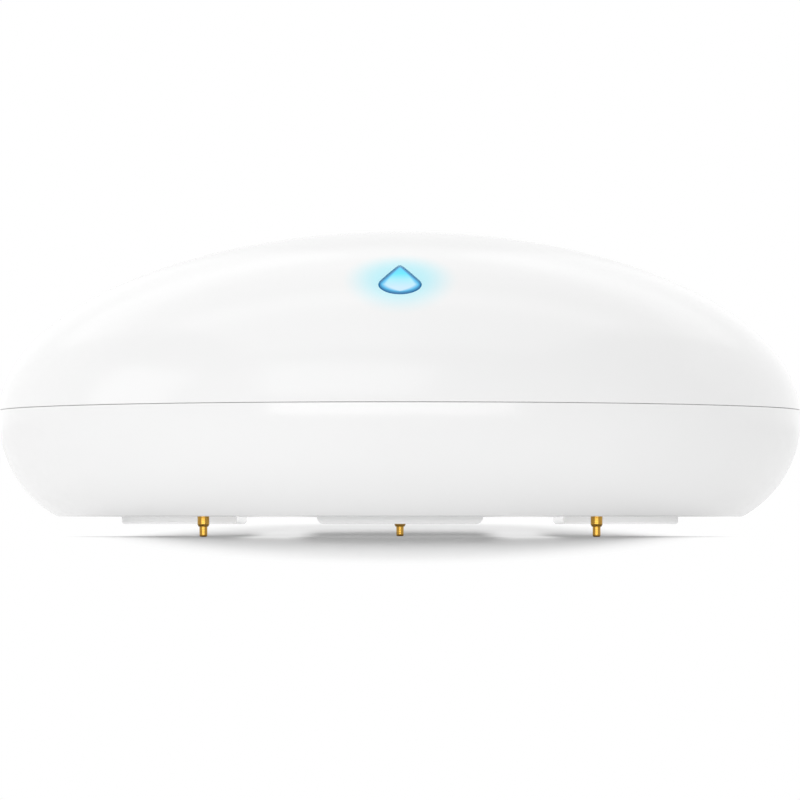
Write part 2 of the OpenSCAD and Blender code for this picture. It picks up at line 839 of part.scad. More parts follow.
// Square push switch with a bore for its button and four legs
module switch_housing() {
    color("black")
        translate([switch_at.x, switch_at.y, z_parts])
            difference() {
                union() {
                    translate([-switch_w / 2, -switch_w / 2, 0.2])
                        cube([switch_w, switch_w, switch_h - 0.2]);
                    for (x = [-switch_w / 3, switch_w / 3])
                        translate([x - 0.4, -switch_w / 2 - 1, 0]) cube([0.8, switch_w + 2, 0.5]);
                }
                translate([0, 0, switch_h / 3]) cylinder(d = button_d + 2 * button_play, h = switch_h);
            }
}

module service_button() {
    z_low = z_parts + switch_h / 3 + button_travel + button_play;
    z_high = z_parts + switch_h + button_rise;
    color("dimgray")
        translate([switch_at.x, switch_at.y, 0])
            rotate_extrude()
                polygon([
                    [0, z_low], [button_d / 2, z_low], [button_d / 2, z_high - 0.3],
                    [button_d / 2 - 0.3, z_high], [0, z_high]
                ]);
}

// Flat chip with a row of leads on each side
module controller_chip() {
    pitch = chip_w / (chip_leads + 1);
    color("black")
        translate([chip_at.x, chip_at.y, z_parts]) {
            translate([-chip_w / 2, -chip_w / 2, 0.1]) cube([chip_w, chip_w, chip_h - 0.1]);
            for (a = [0, 90])
                rotate(a)
                    for (i = [1 : chip_leads])
                        translate([i * pitch - chip_w / 2 - pitch / 4, -chip_w / 2 - 0.8, 0])
                            cube([pitch / 2, chip_w + 1.6, 0.25]);
        }
}

// Can with round ends
module crystal() {
    r = crystal_w / 2;
    half = crystal_l / 2 - r;
    round_end = [for (a = [-90 : 15 : 90]) [half + r * cos(a), r * sin(a)]];
    color("silver")
        translate([crystal_at.x, crystal_at.y, z_parts]) {
            linear_extrude(height = crystal_h) polygon(concat(round_end, -round_end));
            linear_extrude(height = 0.4) polygon(1.12 * concat(round_end, -round_end));
        }
}

module chip_parts() {
    color("tan")
        for (p = chip_part_at)
            translate([p.x, p.y, z_parts])
                rotate(p.z)
                    translate([-chip_part_size.x / 2, -chip_part_size.y / 2, 0]) cube(chip_part_size);
}

// Small board with half holes along its long edges
module radio_board() {
    holes = 8;
    color("darkgreen")
        translate([radio_at.x, radio_at.y, z_parts])
            difference() {
                translate([-radio_l / 2, -radio_w / 2, 0]) cube([radio_l, radio_w, radio_t]);
                for (i = [1 : holes])
                    for (y = [-radio_w / 2, radio_w / 2])
                        translate([i * radio_l / (holes + 1) - radio_l / 2, y, -cut])
                            cylinder(d = radio_t, h = radio_t + 2 * cut);
            }
}

// Folded tin box over the radio, with vent holes
module radio_shield() {
    l = radio_l - 3;
    w = radio_w - 3;
    color("silver")
        translate([radio_at.x, radio_at.y, z_parts + radio_t])
            difference() {
                translate([-l / 2, -w / 2, 0]) cube([l, w, shield_h]);
                translate([shield_t - l / 2, shield_t - w / 2, -cut])
                    cube([l - 2 * shield_t, w - 2 * shield_t, shield_h - shield_t + cut]);
                for (i = [-1 : 1])
                    for (j = [-1 : 1])
                        translate([i * l / 4, j * w / 4, shield_h - 2 * shield_t])
                            cylinder(d = 1, h = 3 * shield_t);
            }
}

// Open coil on a straight leg that stands on the board
module antenna_coil() {
    leg = [[antenna_r, 0, 0], [antenna_r, 0, antenna_leg_h / 2]];
    rise = antenna_turns * antenna_pitch;
    coil = coil_path(antenna_r, antenna_r, antenna_leg_h, antenna_leg_h + rise, antenna_turns, 16);
    color("peru")
        translate([antenna_at.x, antenna_at.y, z_parts]) wire(concat(leg, coil), antenna_wire_d / 2, 6);
}

// Round can with a rolled groove near its foot
module supply_capacitor() {
    r = capacitor_d / 2;
    color("silver")
        translate([capacitor_at.x, capacitor_at.y, z_parts])
            rotate_extrude()
                polygon([
                    [0, 0], [r, 0], [r, 0.8], [r - 0.3, 1.1], [r, 1.4], [r, capacitor_h - 0.4],
                    [r - 0.4, capacitor_h], [0, capacitor_h]
                ]);
}

// Small can on a rim
module tilt_sensor() {
    r = tilt_d / 2;
    color("silver")
        translate([tilt_at.x, tilt_at.y, z_parts])
            rotate_extrude()
                polygon([
                    [0, 0], [r, 0], [r, 0.5], [r - 0.3, 0.5],
                    [r - 0.3, tilt_h - 0.6], [r - 0.9, tilt_h], [0, tilt_h]
                ]);
}

// Glass bead on two thin leads
module thermistor() {
    color("saddlebrown")
        translate([thermistor_at.x, thermistor_at.y, z_parts]) {
            for (x = [-0.5, 0.5])
                translate([x, 0, 0]) cylinder(d = 0.4, h = lead_h, $fn = 24);
            translate([0, 0, lead_h]) sphere(d = bead_d, $fn = 32);
        }
}

base_shell();
cover_shell();
drop_lens();
lens_seal();
cover_seal();
probe_barrel(0);  // probe_barrel_left
probe_barrel(1);  // probe_barrel_right
probe_barrel(2);  // probe_barrel_rear
probe_plunger(0);  // probe_plunger_left
probe_plunger(1);  // probe_plunger_right
probe_plunger(2);  // probe_plunger_rear
probe_spring(0);  // probe_spring_left
probe_spring(1);  // probe_spring_right
probe_spring(2);  // probe_spring_rear
probe_seals();
main_board();
board_screws();
battery_holder();
holder_screws();
contact_positive();
contact_negative();
contact_spring();
battery_can();
battery_core();
battery_gasket();
battery_cap();
battery_sleeve();
status_lamp();
light_guide();
buzzer_case();
buzzer_disc();
switch_housing();
service_button();
controller_chip();
crystal();
chip_parts();
radio_board();
radio_shield();
antenna_coil();
supply_capacitor();
tilt_sensor();
thermistor();
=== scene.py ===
from math import acos, asin, atan, atan2, cos, degrees, pi, radians, sin, sqrt, tan

import bmesh
import bpy
from mathutils import Matrix, Vector


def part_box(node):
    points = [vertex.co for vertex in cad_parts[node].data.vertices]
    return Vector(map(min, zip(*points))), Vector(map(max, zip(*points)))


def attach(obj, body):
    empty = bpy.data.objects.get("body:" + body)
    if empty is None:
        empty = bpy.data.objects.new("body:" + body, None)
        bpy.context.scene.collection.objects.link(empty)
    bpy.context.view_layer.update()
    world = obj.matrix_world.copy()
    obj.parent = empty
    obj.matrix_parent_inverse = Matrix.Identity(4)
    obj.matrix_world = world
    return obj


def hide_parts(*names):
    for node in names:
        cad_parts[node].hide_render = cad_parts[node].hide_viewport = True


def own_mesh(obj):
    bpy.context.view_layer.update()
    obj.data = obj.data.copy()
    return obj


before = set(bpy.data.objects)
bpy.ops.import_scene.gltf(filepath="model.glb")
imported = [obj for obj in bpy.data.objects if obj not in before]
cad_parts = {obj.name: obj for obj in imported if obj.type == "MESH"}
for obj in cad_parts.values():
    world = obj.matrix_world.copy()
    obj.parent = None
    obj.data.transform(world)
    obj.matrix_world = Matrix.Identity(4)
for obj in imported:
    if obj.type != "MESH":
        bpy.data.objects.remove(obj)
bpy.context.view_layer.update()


# Lower shell: the bowl that carries everything else.
# Injection-moulded white ABS from a polished mould. Its rim takes the cover, its ledge the
# seal, and the sole under it is parted into three lobes so that water runs in to the probes.
MM = 0.001


def box_mm(node):
    """The low and the high corner of a CAD node, in millimetres."""
    return [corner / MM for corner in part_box(node)]


base_low, base_high = box_mm("base_shell")
cover_low, cover_high = box_mm("cover_shell")
case_r = base_high.x
wall = 1.8
sole_h = 0.65
bowl_h = 8.8
bowl_r = 10
seam_open = 0.03
z_seam = base_high.z + 0.1
z_rim = z_seam - seam_open / 2
z_sole = base_low.z
z_under = z_sole + sole_h
z_floor = z_under + wall
z_wide = z_under + bowl_h
bowl_mid = case_r - bowl_r
seal_low, seal_high = box_mm("cover_seal")
ledge_r = -seal_low.x - 1.7
ledge_t = 1
ledge_slope = 0.46
rim_edge = 0.15
seam_edge = 0.08
under_edge = 0.8


def arc(middle, radius, start, end, steps):
    """Points of a circle's arc, from start to end in degrees."""
    return [
        (middle[0] + radius * cos(radians(a)), middle[1] + radius * sin(radians(a)))
        for a in (start + (end - start) * i / steps for i in range(steps + 1))
    ]


def soften(corners, steps=4):
    """An outline whose corners with a third value are rounded to that radius.

    A point close by on each side keeps the straight walls beside a rounding true in their shading.
    """
    hold = 0.1
    outline = []
    for i, corner in enumerate(corners):
        here = Vector(corner[:2])
        if len(corner) < 3:
            outline.append(tuple(here))
            continue
        back = (Vector(corners[i - 1][:2]) - here).normalized()
        on = (Vector(corners[(i + 1) % len(corners)][:2]) - here).normalized()
        half = back.angle(on) / 2
        middle = here + (back + on).normalized() * (corner[2] / sin(half))
        reach = corner[2] / tan(half)
        first = here + back * reach - middle
        turn = first.angle_signed(here + on * reach - middle)
        outline.append(tuple(here + back * (reach + hold * corner[2])))
        for s in range(steps + 1):
            outline.append(tuple(middle + Matrix.Rotation(-turn * s / steps, 2) @ first))
        outline.append(tuple(here + on * (reach + hold * corner[2])))
    return outline


def lathe(outline, around=128):
    """Points and faces of an (r, z) outline turned about Z; ends on the axis become poles."""
    points, rings, faces = [], [], []
    for r, z in outline:
        count = around if r > 1e-6 else 1
        rings.append(range(len(points), len(points) + count))
        for i in range(count):
            a = 2 * pi * i / around
            points.append((r * cos(a), r * sin(a), z))
    closed = len(rings[0]) > 1
    for i in range(len(rings) - (0 if closed else 1)):
        low, high = rings[i], rings[(i + 1) % len(rings)]
        for s in range(around):
            t = (s + 1) % around
            corners = [low[s % len(low)], low[t % len(low)], high[t % len(high)], high[s % len(high)]]
            face = list(dict.fromkeys(corners))
            if len(face) > 2:
                faces.append(face)
    return points, faces


def shade(mesh, sharp=35):
    """Smooth shading, with edges above that angle left sharp."""
    mesh.shade_smooth()
    mesh.set_sharp_from_angle(angle=radians(sharp))


def add_piece(name, points, faces, bevel=0, bevel_if=None, segments=3):
    """A closed mesh piece from points in millimetres, with chosen sharp edges rounded."""
    form = bmesh.new()
    made = [form.verts.new(Vector(p) * MM) for p in points]
    for face in faces:
        form.faces.new([made[i] for i in face])
    bmesh.ops.recalc_face_normals(form, faces=form.faces)
    if bevel:
        edges = [
            e for e in form.edges
            if e.calc_face_angle(0) > 0.6 and (bevel_if is None or bevel_if(e))
        ]
        bmesh.ops.bevel(
            form, geom=edges, offset=bevel * MM, segments=segments, profile=0.5,
            affect="EDGES", clamp_overlap=True,
        )
    mesh = bpy.data.meshes.new(name)
    form.to_mesh(mesh)
    form.free()
    shade(mesh)
    piece = bpy.data.objects.new(name, mesh)
    bpy.context.scene.collection.objects.link(piece)
    return piece


def prism(outline, low, high):
    """Points and faces of an outline raised from low to high."""
    count = len(outline)
    points = [(x, y, low) for x, y in outline] + [(x, y, high) for x, y in outline]
    sides = [[i, (i + 1) % count, (i + 1) % count + count, i + count] for i in range(count)]
    return points, [list(range(count)), list(range(count, 2 * count))] + sides


def together(solids):
    """Several solids as one, each a pair of points and faces."""
    points, faces = [], []
    for more_points, more_faces in solids:
        faces += [[i + len(points) for i in face] for face in more_faces]
        points += more_points
    return points, faces


def placed(solid, x, y, z=0, turn=0):
    """A solid turned about Z, in degrees, and then shifted."""
    c, s = cos(radians(turn)), sin(radians(turn))
    return [(x + px * c - py * s, y + px * s + py * c, z + pz) for px, py, pz in solid[0]], solid[1]


def rod(radius, low, high, around=32):
    """A plain round bar about Z."""
    return lathe([(0, low), (radius, low), (radius, high), (0, high)], around)


def ring_segment(r_in, r_out, low, high, start, end):
    """A piece of a flat ring between two angles in degrees."""
    return prism(arc((0, 0), r_out, start, end, 6) + arc((0, 0), r_in, end, start, 6), low, high)


def combine(piece, tool, operation):
    """Joins a tool to a piece, or cuts it away, shades the piece anew and removes the tool."""
    step = piece.modifiers.new("combine", "BOOLEAN")
    step.object = tool
    step.operation = operation
    step.solver = "EXACT"
    solid = piece.evaluated_get(bpy.context.evaluated_depsgraph_get())
    piece.data = bpy.data.meshes.new_from_object(solid)
    piece.modifiers.clear()
    shade(piece.data)
    bpy.data.objects.remove(tool)


def move(piece, matrix):
    """Moves a piece's points, so that the piece itself stays at the origin."""
    piece.data.transform(matrix)
    return piece


def at(x, y, z):
    """A shift in millimetres."""
    return Matrix.Translation(Vector((x, y, z)) * MM)


under_angle = degrees(asin(bowl_h / bowl_r))
inside_r = bowl_r - wall
seal_angle = degrees(asin((z_wide - seal_low.z) / inside_r))
floor_angle = degrees(asin((z_wide - z_floor) / inside_r))
ledge_angle = degrees(asin((z_wide - seal_low.z + ledge_t + ledge_slope) / inside_r))
bowl_outline = soften(
    [(0, z_under), (bowl_mid + bowl_r * cos(radians(under_angle)), z_under, under_edge)]
    + arc((bowl_mid, z_wide), bowl_r, 2 - under_angle, 0, 28)
    + [(case_r, z_rim, seam_edge), (case_r - wall, z_rim, rim_edge)]
    + arc((bowl_mid, z_wide), inside_r, 0, -seal_angle, 8)
    + [(ledge_r, seal_low.z, 0.1), (ledge_r, seal_low.z - ledge_t)]
    + arc((bowl_mid, z_wide), inside_r, -ledge_angle, -floor_angle, 8)
    + [(0, z_floor)]
)
lower_shell = add_piece("lower_shell", *lathe(bowl_outline, 256))

sole_r = 25
scallop_r = 13
scallop_at = 30
scallop_deg = 30
channel_in = 7.1
channel_out = 14.4
lobe_edge = 0.5
front_end = degrees(acos(channel_in / sole_r))
scallop = (scallop_at * cos(radians(scallop_deg)), -scallop_at * sin(radians(scallop_deg)))
scallop_start = degrees(acos((channel_out - scallop[0]) / scallop_r))
lobe_end = degrees(acos(channel_out / sole_r))
meet_reach = (sole_r ** 2 - scallop_r ** 2 + scallop_at ** 2) / (2 * scallop_at)
lobe_start = degrees(acos(meet_reach / sole_r)) - scallop_deg
meet = sole_r * Vector((cos(radians(lobe_start)), sin(radians(lobe_start))))
scallop_end = degrees(atan2(meet.y - scallop[1], meet.x - scallop[0]))
rear_turn = degrees(asin(channel_in / scallop_r))
centre_lobe = (
    arc((0, 0), sole_r, -180 + front_end, -front_end, 14)
    + arc((0, scallop_at), scallop_r, -90 + rear_turn, -90 - rear_turn, 10)
)
right_lobe = (
    arc(scallop, scallop_r, scallop_start, scallop_end, 14)
    + arc((0, 0), sole_r, lobe_start, lobe_end, 24)[1:]
)
left_lobe = [(-x, y) for x, y in reversed(right_lobe)]
for lobe in (centre_lobe, right_lobe, left_lobe):
    lobe_foot = add_piece(
        "foot", *prism(lobe, z_sole, z_under + wall / 2), bevel=lobe_edge, segments=4,
        bevel_if=lambda e: all(v.co.z < (z_sole + 0.01) * MM for v in e.verts),
    )
    combine(lower_shell, lobe_foot, "UNION")

z_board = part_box("main_board")[0].z / MM
z_boss = z_floor + 1.4
boss_r = 2
probe_hole_r = 0.575
pocket_r = 1.285
pocket_h = 0.7
post_at = 26
post_r = 2.3
post_foot_r = 2.9
post_bore_r = 0.98
post_bore_h = 3.3
post_angles = (34, 146, 214, 326)
probe_names = ("left", "right", "rear")
probe_spots = {side: sum(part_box("probe_barrel_" + side), Vector()).xy / 2 / MM for side in probe_names}
lug_angles = (30, 150, 270)
lug_deg = 14
lug_h = 1.2
lug_low = 8.35
catch_deg = 16
catch_r = 33.4
catch_low = 9.7
stop_deg = 2
stop_gap = 0.5
in_wall = case_r - wall / 2
z_root = z_floor - wall / 2
post_spots = [(post_at * cos(radians(a)), post_at * sin(radians(a))) for a in post_angles]
post_outline = soften([
    (0, z_root), (post_foot_r, z_root), (post_foot_r, z_floor), (post_r, z_floor + post_foot_r - post_r, 0.5),
    (post_r, z_board, rim_edge), (0, z_board),
])
boss_outline = soften([(0, z_root), (boss_r, z_root), (boss_r, z_boss, rim_edge), (0, z_boss)])
stop_at = lug_deg / 2 + stop_gap
inner_forms = [placed(lathe(post_outline, 40), *spot) for spot in post_spots]
inner_forms += [placed(lathe(boss_outline, 40), *probe_spots[side]) for side in probe_names]
for a in lug_angles:
    inner_forms.append(ring_segment(
        catch_r, in_wall, catch_low, catch_low + lug_h, a - catch_deg / 2, a + catch_deg / 2,
    ))
combine(lower_shell, add_piece("inner_forms", *together(inner_forms)), "UNION")
stops = [
    ring_segment(catch_r, in_wall, lug_low, catch_low + lug_h / 2, a - stop_at - stop_deg, a - stop_at)
    for a in lug_angles
]
combine(lower_shell, add_piece("stops", *together(stops)), "UNION")
bores = [placed(rod(probe_hole_r, z_sole - 1, z_boss + 1), *probe_spots[side]) for side in probe_names]
bores += [placed(rod(post_bore_r, z_board - post_bore_h, z_board + 1), *spot) for spot in post_spots]
combine(lower_shell, add_piece("bores", *together(bores)), "DIFFERENCE")
pockets = [placed(rod(pocket_r, z_boss - pocket_h, z_boss + 1), *probe_spots[side]) for side in probe_names]
combine(lower_shell, add_piece("pockets", *together(pockets)), "DIFFERENCE")


def linear(colour):
    """A linear RGBA colour from an sRGB hex value."""
    parts = [int(colour[i:i + 2], 16) / 255 for i in (0, 2, 4)]
    return [c / 12.92 if c <= 0.04045 else ((c + 0.055) / 1.055) ** 2.4 for c in parts] + [1]


def start_material(name):
    """An empty node material and its tree."""
    material = bpy.data.materials.new(name)
    material.use_nodes = True
    material.node_tree.nodes.clear()
    return material, material.node_tree


def add_node(tree, kind, sockets, **settings):
    """Adds a node: settings go on it, and each socket takes a value or the output that feeds it."""
    node = tree.nodes.new(kind)
    for name, value in settings.items():
        setattr(node, name, value)
    for name, value in sockets.items():
        if isinstance(value, bpy.types.NodeSocket):
            tree.links.new(value, node.inputs[name])
        else:
            node.inputs[name].default_value = value
    return node


def per_mm(size):
    """The scale of a pattern whose features are that many millimetres wide."""
    return 1 / (size * MM)


def object_point(tree):
    """The output that gives each point's place on its object."""
    return add_node(tree, "ShaderNodeTexCoord", {}).outputs["Object"]


def noise(tree, point, size, detail):
    """The output of a noise whose features are that many millimetres wide."""
    sockets = {"Vector": point, "Scale": per_mm(size), "Detail": detail}
    return add_node(tree, "ShaderNodeTexNoise", sockets).outputs["Fac"]


def spread(tree, value, start, end, low=0, high=1, curve="LINEAR"):
    """The output that runs from low to high while a value runs from start to end."""
    sockets = {"Value": value, "From Min": start, "From Max": end, "To Min": low, "To Max": high}
    return add_node(tree, "ShaderNodeMapRange", sockets, interpolation_type=curve).outputs[0]


def blend(tree, share, first, second):
    """The output of two colours mixed by a share; each is a hex value or an output."""
    first, second = (linear(c) if isinstance(c, str) else c for c in (first, second))
    return add_node(tree, "ShaderNodeMix", {0: share, 6: first, 7: second}, data_type="RGBA").outputs[2]


def relief(tree, height, strength, depth):
    """The output of a bump that many millimetres deep."""
    sockets = {"Height": height, "Strength": strength, "Distance": depth * MM}
    return add_node(tree, "ShaderNodeBump", sockets).outputs[0]


def surface(tree, sockets):
    """Ends a material with a principled shader of these values."""
    shader = add_node(tree, "ShaderNodeBsdfPrincipled", sockets)
    add_node(tree, "ShaderNodeOutputMaterial", {"Surface": shader.outputs[0]})


# Moulded white ABS, polished: a clean gloss with a trace of orange peel, and a tone that
# drifts a little where the melt cooled at different speeds.
white_abs, tree = start_material("polished_white_abs")
place = object_point(tree)
flow = noise(tree, place, 22, 2)
surface(tree, {
    "Base Color": blend(tree, flow, "f4f4f4", "f0f0f0"), "IOR": 1.53,
    "Roughness": spread(tree, flow, 0.3, 0.7, 0.16, 0.2),
    "Normal": relief(tree, noise(tree, place, 0.9, 1), 0.05, 0.01),
})


def fit(piece, material, body, slot, *nodes):
    """Gives a piece its material and its body, and hides the CAD nodes that it stands for. The slot is not
    used.
    """
    piece.data.materials.append(material)
    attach(piece, body)
    if nodes:
        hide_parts(*nodes)


fit(lower_shell, white_abs, "base", "white_abs", "base_shell")


# Probe seals: a rubber ring in the pocket of each probe boss, round the sleeve.
# Moulded silicone, pressed in before the sleeve.
def finish(name, light, dark, grain, rough, depth, sockets, stretch=(1, 1, 1)):
    """A material whose tone, gloss and relief follow a grain of that many millimetres."""
    material, tree = start_material(name)
    laid = add_node(tree, "ShaderNodeMapping", {"Vector": object_point(tree), "Scale": stretch})
    speckle = noise(tree, laid.outputs[0], grain, 3)
    look = {
        "Base Color": blend(tree, speckle, light, dark),
        "Roughness": spread(tree, speckle, 0.3, 0.7, *rough),
        "Normal": relief(tree, speckle, 0.5, depth),
    }
    surface(tree, {**look, **sockets})
    return material


def finish_node(node, material):
    """Gives a CAD node that stays in view its material."""
    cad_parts[node].material_slots[0].material = material


# Silicone rubber: grey and matt, soft in its highlights.
silicone = finish("moulded_grey_silicone", "8b8d90", "7a7c80", 0.4, (0.5, 0.65), 0.006, {"IOR": 1.41})
seal_ring_r = 0.33
ring_outline = arc((probe_hole_r + seal_ring_r, z_boss - pocket_h / 2), seal_ring_r, 0, 345, 23)
rings = [placed(lathe(ring_outline, 48), *probe_spots[side]) for side in probe_names]
fit(add_piece("probe_rings", *together(rings)), silicone, "base", "grey_silicone", "probe_seals")


# Probes: three sprung pins that feel the water.
# Each is a turned and gold-plated brass sleeve, pressed into a boss of the lower shell, with a
# thinner pin that slides in its crimped mouth.

# Gold plate: deep yellow and bright, with fine turning lines and a little wear.
gold_plate, tree = start_material("turned_gold_plate")
place = object_point(tree)
turning = add_node(
    tree, "ShaderNodeTexWave", {"Vector": place, "Scale": per_mm(0.5), "Distortion": 0.4, "Detail": 1},
    bands_direction="Z",
)
surface(tree, {
    "Base Color": blend(tree, noise(tree, place, 0.6, 3), "b88f42", "a07a32"), "Metallic": 1,
    "Roughness": 0.08, "Normal": relief(tree, turning.outputs["Fac"], 0.04, 0.01),
})


def tube(path, radius, sides=12):
    """Round wire along a path of points, with flat ends."""
    points, faces = [], []
    spots = [Vector(p) for p in path]
    side = None
    for i, spot in enumerate(spots):
        ahead = (spots[min(i + 1, len(spots) - 1)] - spots[max(i - 1, 0)]).normalized()
        side = ahead.orthogonal() if side is None else side - ahead * side.dot(ahead)
        side.normalize()
        for a in (2 * pi * s / sides for s in range(sides)):
            points.append(tuple(spot + radius * (cos(a) * side + sin(a) * ahead.cross(side))))
    for i in range(len(spots) - 1):
        for s in range(sides):
            t = (s + 1) % sides
            faces.append([i * sides + s, i * sides + t, (i + 1) * sides + t, (i + 1) * sides + s])
    last = len(points) - sides
    return points, faces + [list(range(sides)), list(range(last, len(points)))]


def coil_path(r_start, r_end, low, high, turns, steps):
    """Centre line of a wire wound about Z."""
    count = turns * steps
    return [
        (
            (r_start + (r_end - r_start) * i / count) * cos(2 * pi * i / steps),
            (r_start + (r_end - r_start) * i / count) * sin(2 * pi * i / steps),
            low + (high - low) * i / count,
        ) for i in range(count + 1)
    ]


# Spring steel: drawn wire, grey and satin, with die lines along it.
spring_steel = finish("drawn_spring_steel", "b4b6b8", "8d9093", 0.12, (0.28, 0.4), 0.002, {"Metallic": 1})
pin_r = 0.35
pin_play = 0.02
pin_head_h = 1.3
barrel_r = 0.525
crimp_h = 0.2
sleeve_flange_t = 0.5
sleeve_end_t = 0.8
wire_r = 0.05
for side in probe_names:
    sleeve_low, sleeve_high = box_mm("probe_barrel_" + side)
    pin_low, pin_high = box_mm("probe_plunger_" + side)
    middle = probe_spots[side]
    pin_head_r = (pin_high.x - pin_low.x) / 2
    mouth_r = pin_r + pin_play
    bore_r = pin_head_r + pin_play
    sleeve_flange_r = (sleeve_high.x - sleeve_low.x) / 2
    z_flange = z_boss + sleeve_flange_t
    z_mouth = sleeve_low.z
    z_bore = sleeve_high.z - sleeve_end_t
    sleeve_outline = soften([
        (mouth_r, z_mouth, 0.02), (pin_head_r, z_mouth, 0.06), (barrel_r, z_mouth + crimp_h, 0.08),
        (barrel_r, z_boss), (sleeve_flange_r, z_boss, 0.08), (sleeve_flange_r, z_flange, 0.08),
        (barrel_r, z_flange), (barrel_r, sleeve_high.z, 0.1), (0, sleeve_high.z),
        (0, z_bore), (bore_r, z_bore), (bore_r, z_mouth + crimp_h), (mouth_r, z_mouth + crimp_h),
    ])
    sleeve = add_piece("probe_sleeve_" + side, *placed(lathe(sleeve_outline, 48), *middle))
    fit(sleeve, gold_plate, "base", "gold_plate", "probe_barrel_" + side)
    z_head = pin_high.z - pin_head_h
    pin_outline = soften([
        (0, 0), (pin_r, 0, 0.14), (pin_r, z_head), (pin_head_r, z_head, 0.03), (pin_head_r, pin_high.z, 0.05),
        (0, pin_high.z),
    ])
    pin = add_piece("probe_pin_" + side, *placed(lathe(pin_outline, 48), *middle))
    fit(pin, gold_plate, "probe_" + side, "gold_plate", "probe_plunger_" + side)
    coil_r = pin_head_r - 0.07
    pin_coil = coil_path(coil_r, coil_r, pin_high.z + wire_r, z_bore - wire_r, 9, 20)
    spring = add_piece("pin_spring_" + side, *placed(tube(pin_coil, wire_r, 8), *middle))
    fit(spring, spring_steel, "base", "spring_steel", "probe_spring_" + side)
    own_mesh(spring)


# Battery holder: the cradle that lies on the floor of the lower shell.
# Moulded in glass-filled nylon, with two end walls for the contacts and a screw tab at each end.
holder_low, holder_high = box_mm("battery_holder")
battery_z = 13.15
battery_r = 8.5
tab_l = 5
tab_t = 1.2
tab_lap = 0.5
holder_wall = 2
holder_edge = 0.2
end_w = 14
end_cut = 3
x_holder = (holder_low.x + tab_l, holder_high.x - tab_l)
x_cell_room = (x_holder[0] + holder_wall, x_holder[1] - holder_wall)
screw_hole_r = 1.15


def lying(solid, z):
    """A solid made about Z, laid along X at that height."""
    return [(pz, py, z - px) for px, py, pz in solid[0]], solid[1]


def facing_x(solid):
    """A solid whose outline was drawn in (y, z) and raised along X."""
    return [(pz, px, py) for px, py, pz in solid[0]], solid[1]


def rectangle(x_low, x_high, y_low, y_high):
    """The corners of a rectangle."""
    return [(x_low, y_low), (x_high, y_low), (x_high, y_high), (x_low, y_high)]


def round_edges(piece, width, segments=3):
    """Rounds a finished piece's sharp edges."""
    step = piece.modifiers.new("round_edges", "BEVEL")
    step.width = width * MM
    step.segments = segments
    step.limit_method = "ANGLE"
    step.angle_limit = radians(40)
    solid = piece.evaluated_get(bpy.context.evaluated_depsgraph_get())
    piece.data = bpy.data.meshes.new_from_object(solid)
    piece.modifiers.clear()
    shade(piece.data)


saddle = prism(rectangle(*x_holder, holder_low.y, holder_high.y), z_floor, z_board)
end_outline = soften([
    (-end_w / 2, z_floor), (end_w / 2, z_floor), (end_w / 2, holder_high.z - end_cut, 1),
    (end_w / 2 - end_cut, holder_high.z, 1), (end_cut - end_w / 2, holder_high.z, 1),
    (-end_w / 2, holder_high.z - end_cut, 1),
])
cradle = add_piece("battery_cradle", *saddle)
combine(cradle, add_piece("end_walls", *together([
    facing_x(prism(end_outline, x, x + holder_wall)) for x in (x_holder[0], x_cell_room[1])
])), "UNION")
tab_half = tab_l / 2 + tab_lap
tab_x = (x_holder[0] - tab_l / 2, x_holder[1] + tab_l / 2)
combine(cradle, add_piece("tabs", *together([
    prism(rectangle(x - tab_half, x + tab_half, -tab_l / 2, tab_l / 2), z_floor, z_floor + tab_t)
    for x in (tab_x[0] + tab_lap, tab_x[1] - tab_lap)
])), "UNION")
combine(cradle, add_piece("cell_room", *together(
    [lying(rod(battery_r + 0.1, *x_cell_room, 96), battery_z)]
    + [placed(rod(screw_hole_r, z_floor - 1, z_floor + 3), x, 0) for x in tab_x]
)), "DIFFERENCE")
round_edges(cradle, holder_edge)
# Glass-filled nylon: matt and near black, with a fine grey grain where fibres reach the skin.
black_nylon = finish("black_glass_filled_nylon", "26272a", "17181a", 0.25, (0.45, 0.6), 0.012, {"IOR": 1.53})
fit(cradle, black_nylon, "base", "black_plastic", "battery_holder")


# Screws: two in the holder's tabs and four in the board's posts.
# Cold-headed steel, zinc plated, with a pan head and a cross recess.
head_r = 1.9
head_h = 1.3
shank_r = 0.95
cross_w = 0.42
cross_l = 1.9


def screw_set(name, spots, shank_l, node):
    """Pan-head screws at the given spots, as one piece."""
    outline = soften([
        (0, -shank_l), (shank_r * 0.5, -shank_l), (shank_r, -shank_l + 0.5), (shank_r, 0),
        (head_r, 0, 0.1), (head_r, head_h * 0.62, 0.35), (head_r * 0.6, head_h, 0.5), (0, head_h),
    ])
    half, arm = cross_w / 2, cross_l / 2
    cross = [
        (arm, -half), (arm, half), (half, half), (half, arm), (-half, arm), (-half, half),
        (-arm, half), (-arm, -half), (-half, -half), (-half, -arm), (half, -arm), (half, -half),
    ]
    heads = add_piece(name, *together([placed(lathe(outline, 48), *spot) for spot in spots]))
    recess = prism(cross, head_h * 0.45, head_h * 2)
    recesses = [placed(recess, *spot, turn=20 + 37 * i) for i, spot in enumerate(spots)]
    combine(heads, add_piece("recesses", *together(recesses)), "DIFFERENCE")
    fit(heads, zinc_steel, "base", "zinc_steel", node)


# Zinc plate: bluish grey and softly bright, cloudy from the bath.
zinc_steel = finish("zinc_plated_steel", "c9ccd0", "a9adb4", 0.7, (0.25, 0.38), 0.004, {"Metallic": 1})
screw_set("tab_screws", [(x, 0, z_floor + tab_t) for x in tab_x], tab_t + 1.5, "holder_screws")
z_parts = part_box("main_board")[1].z / MM
screw_set("post_screws", [(*spot, z_parts) for spot in post_spots], z_parts - z_board + 3.2, "board_screws")


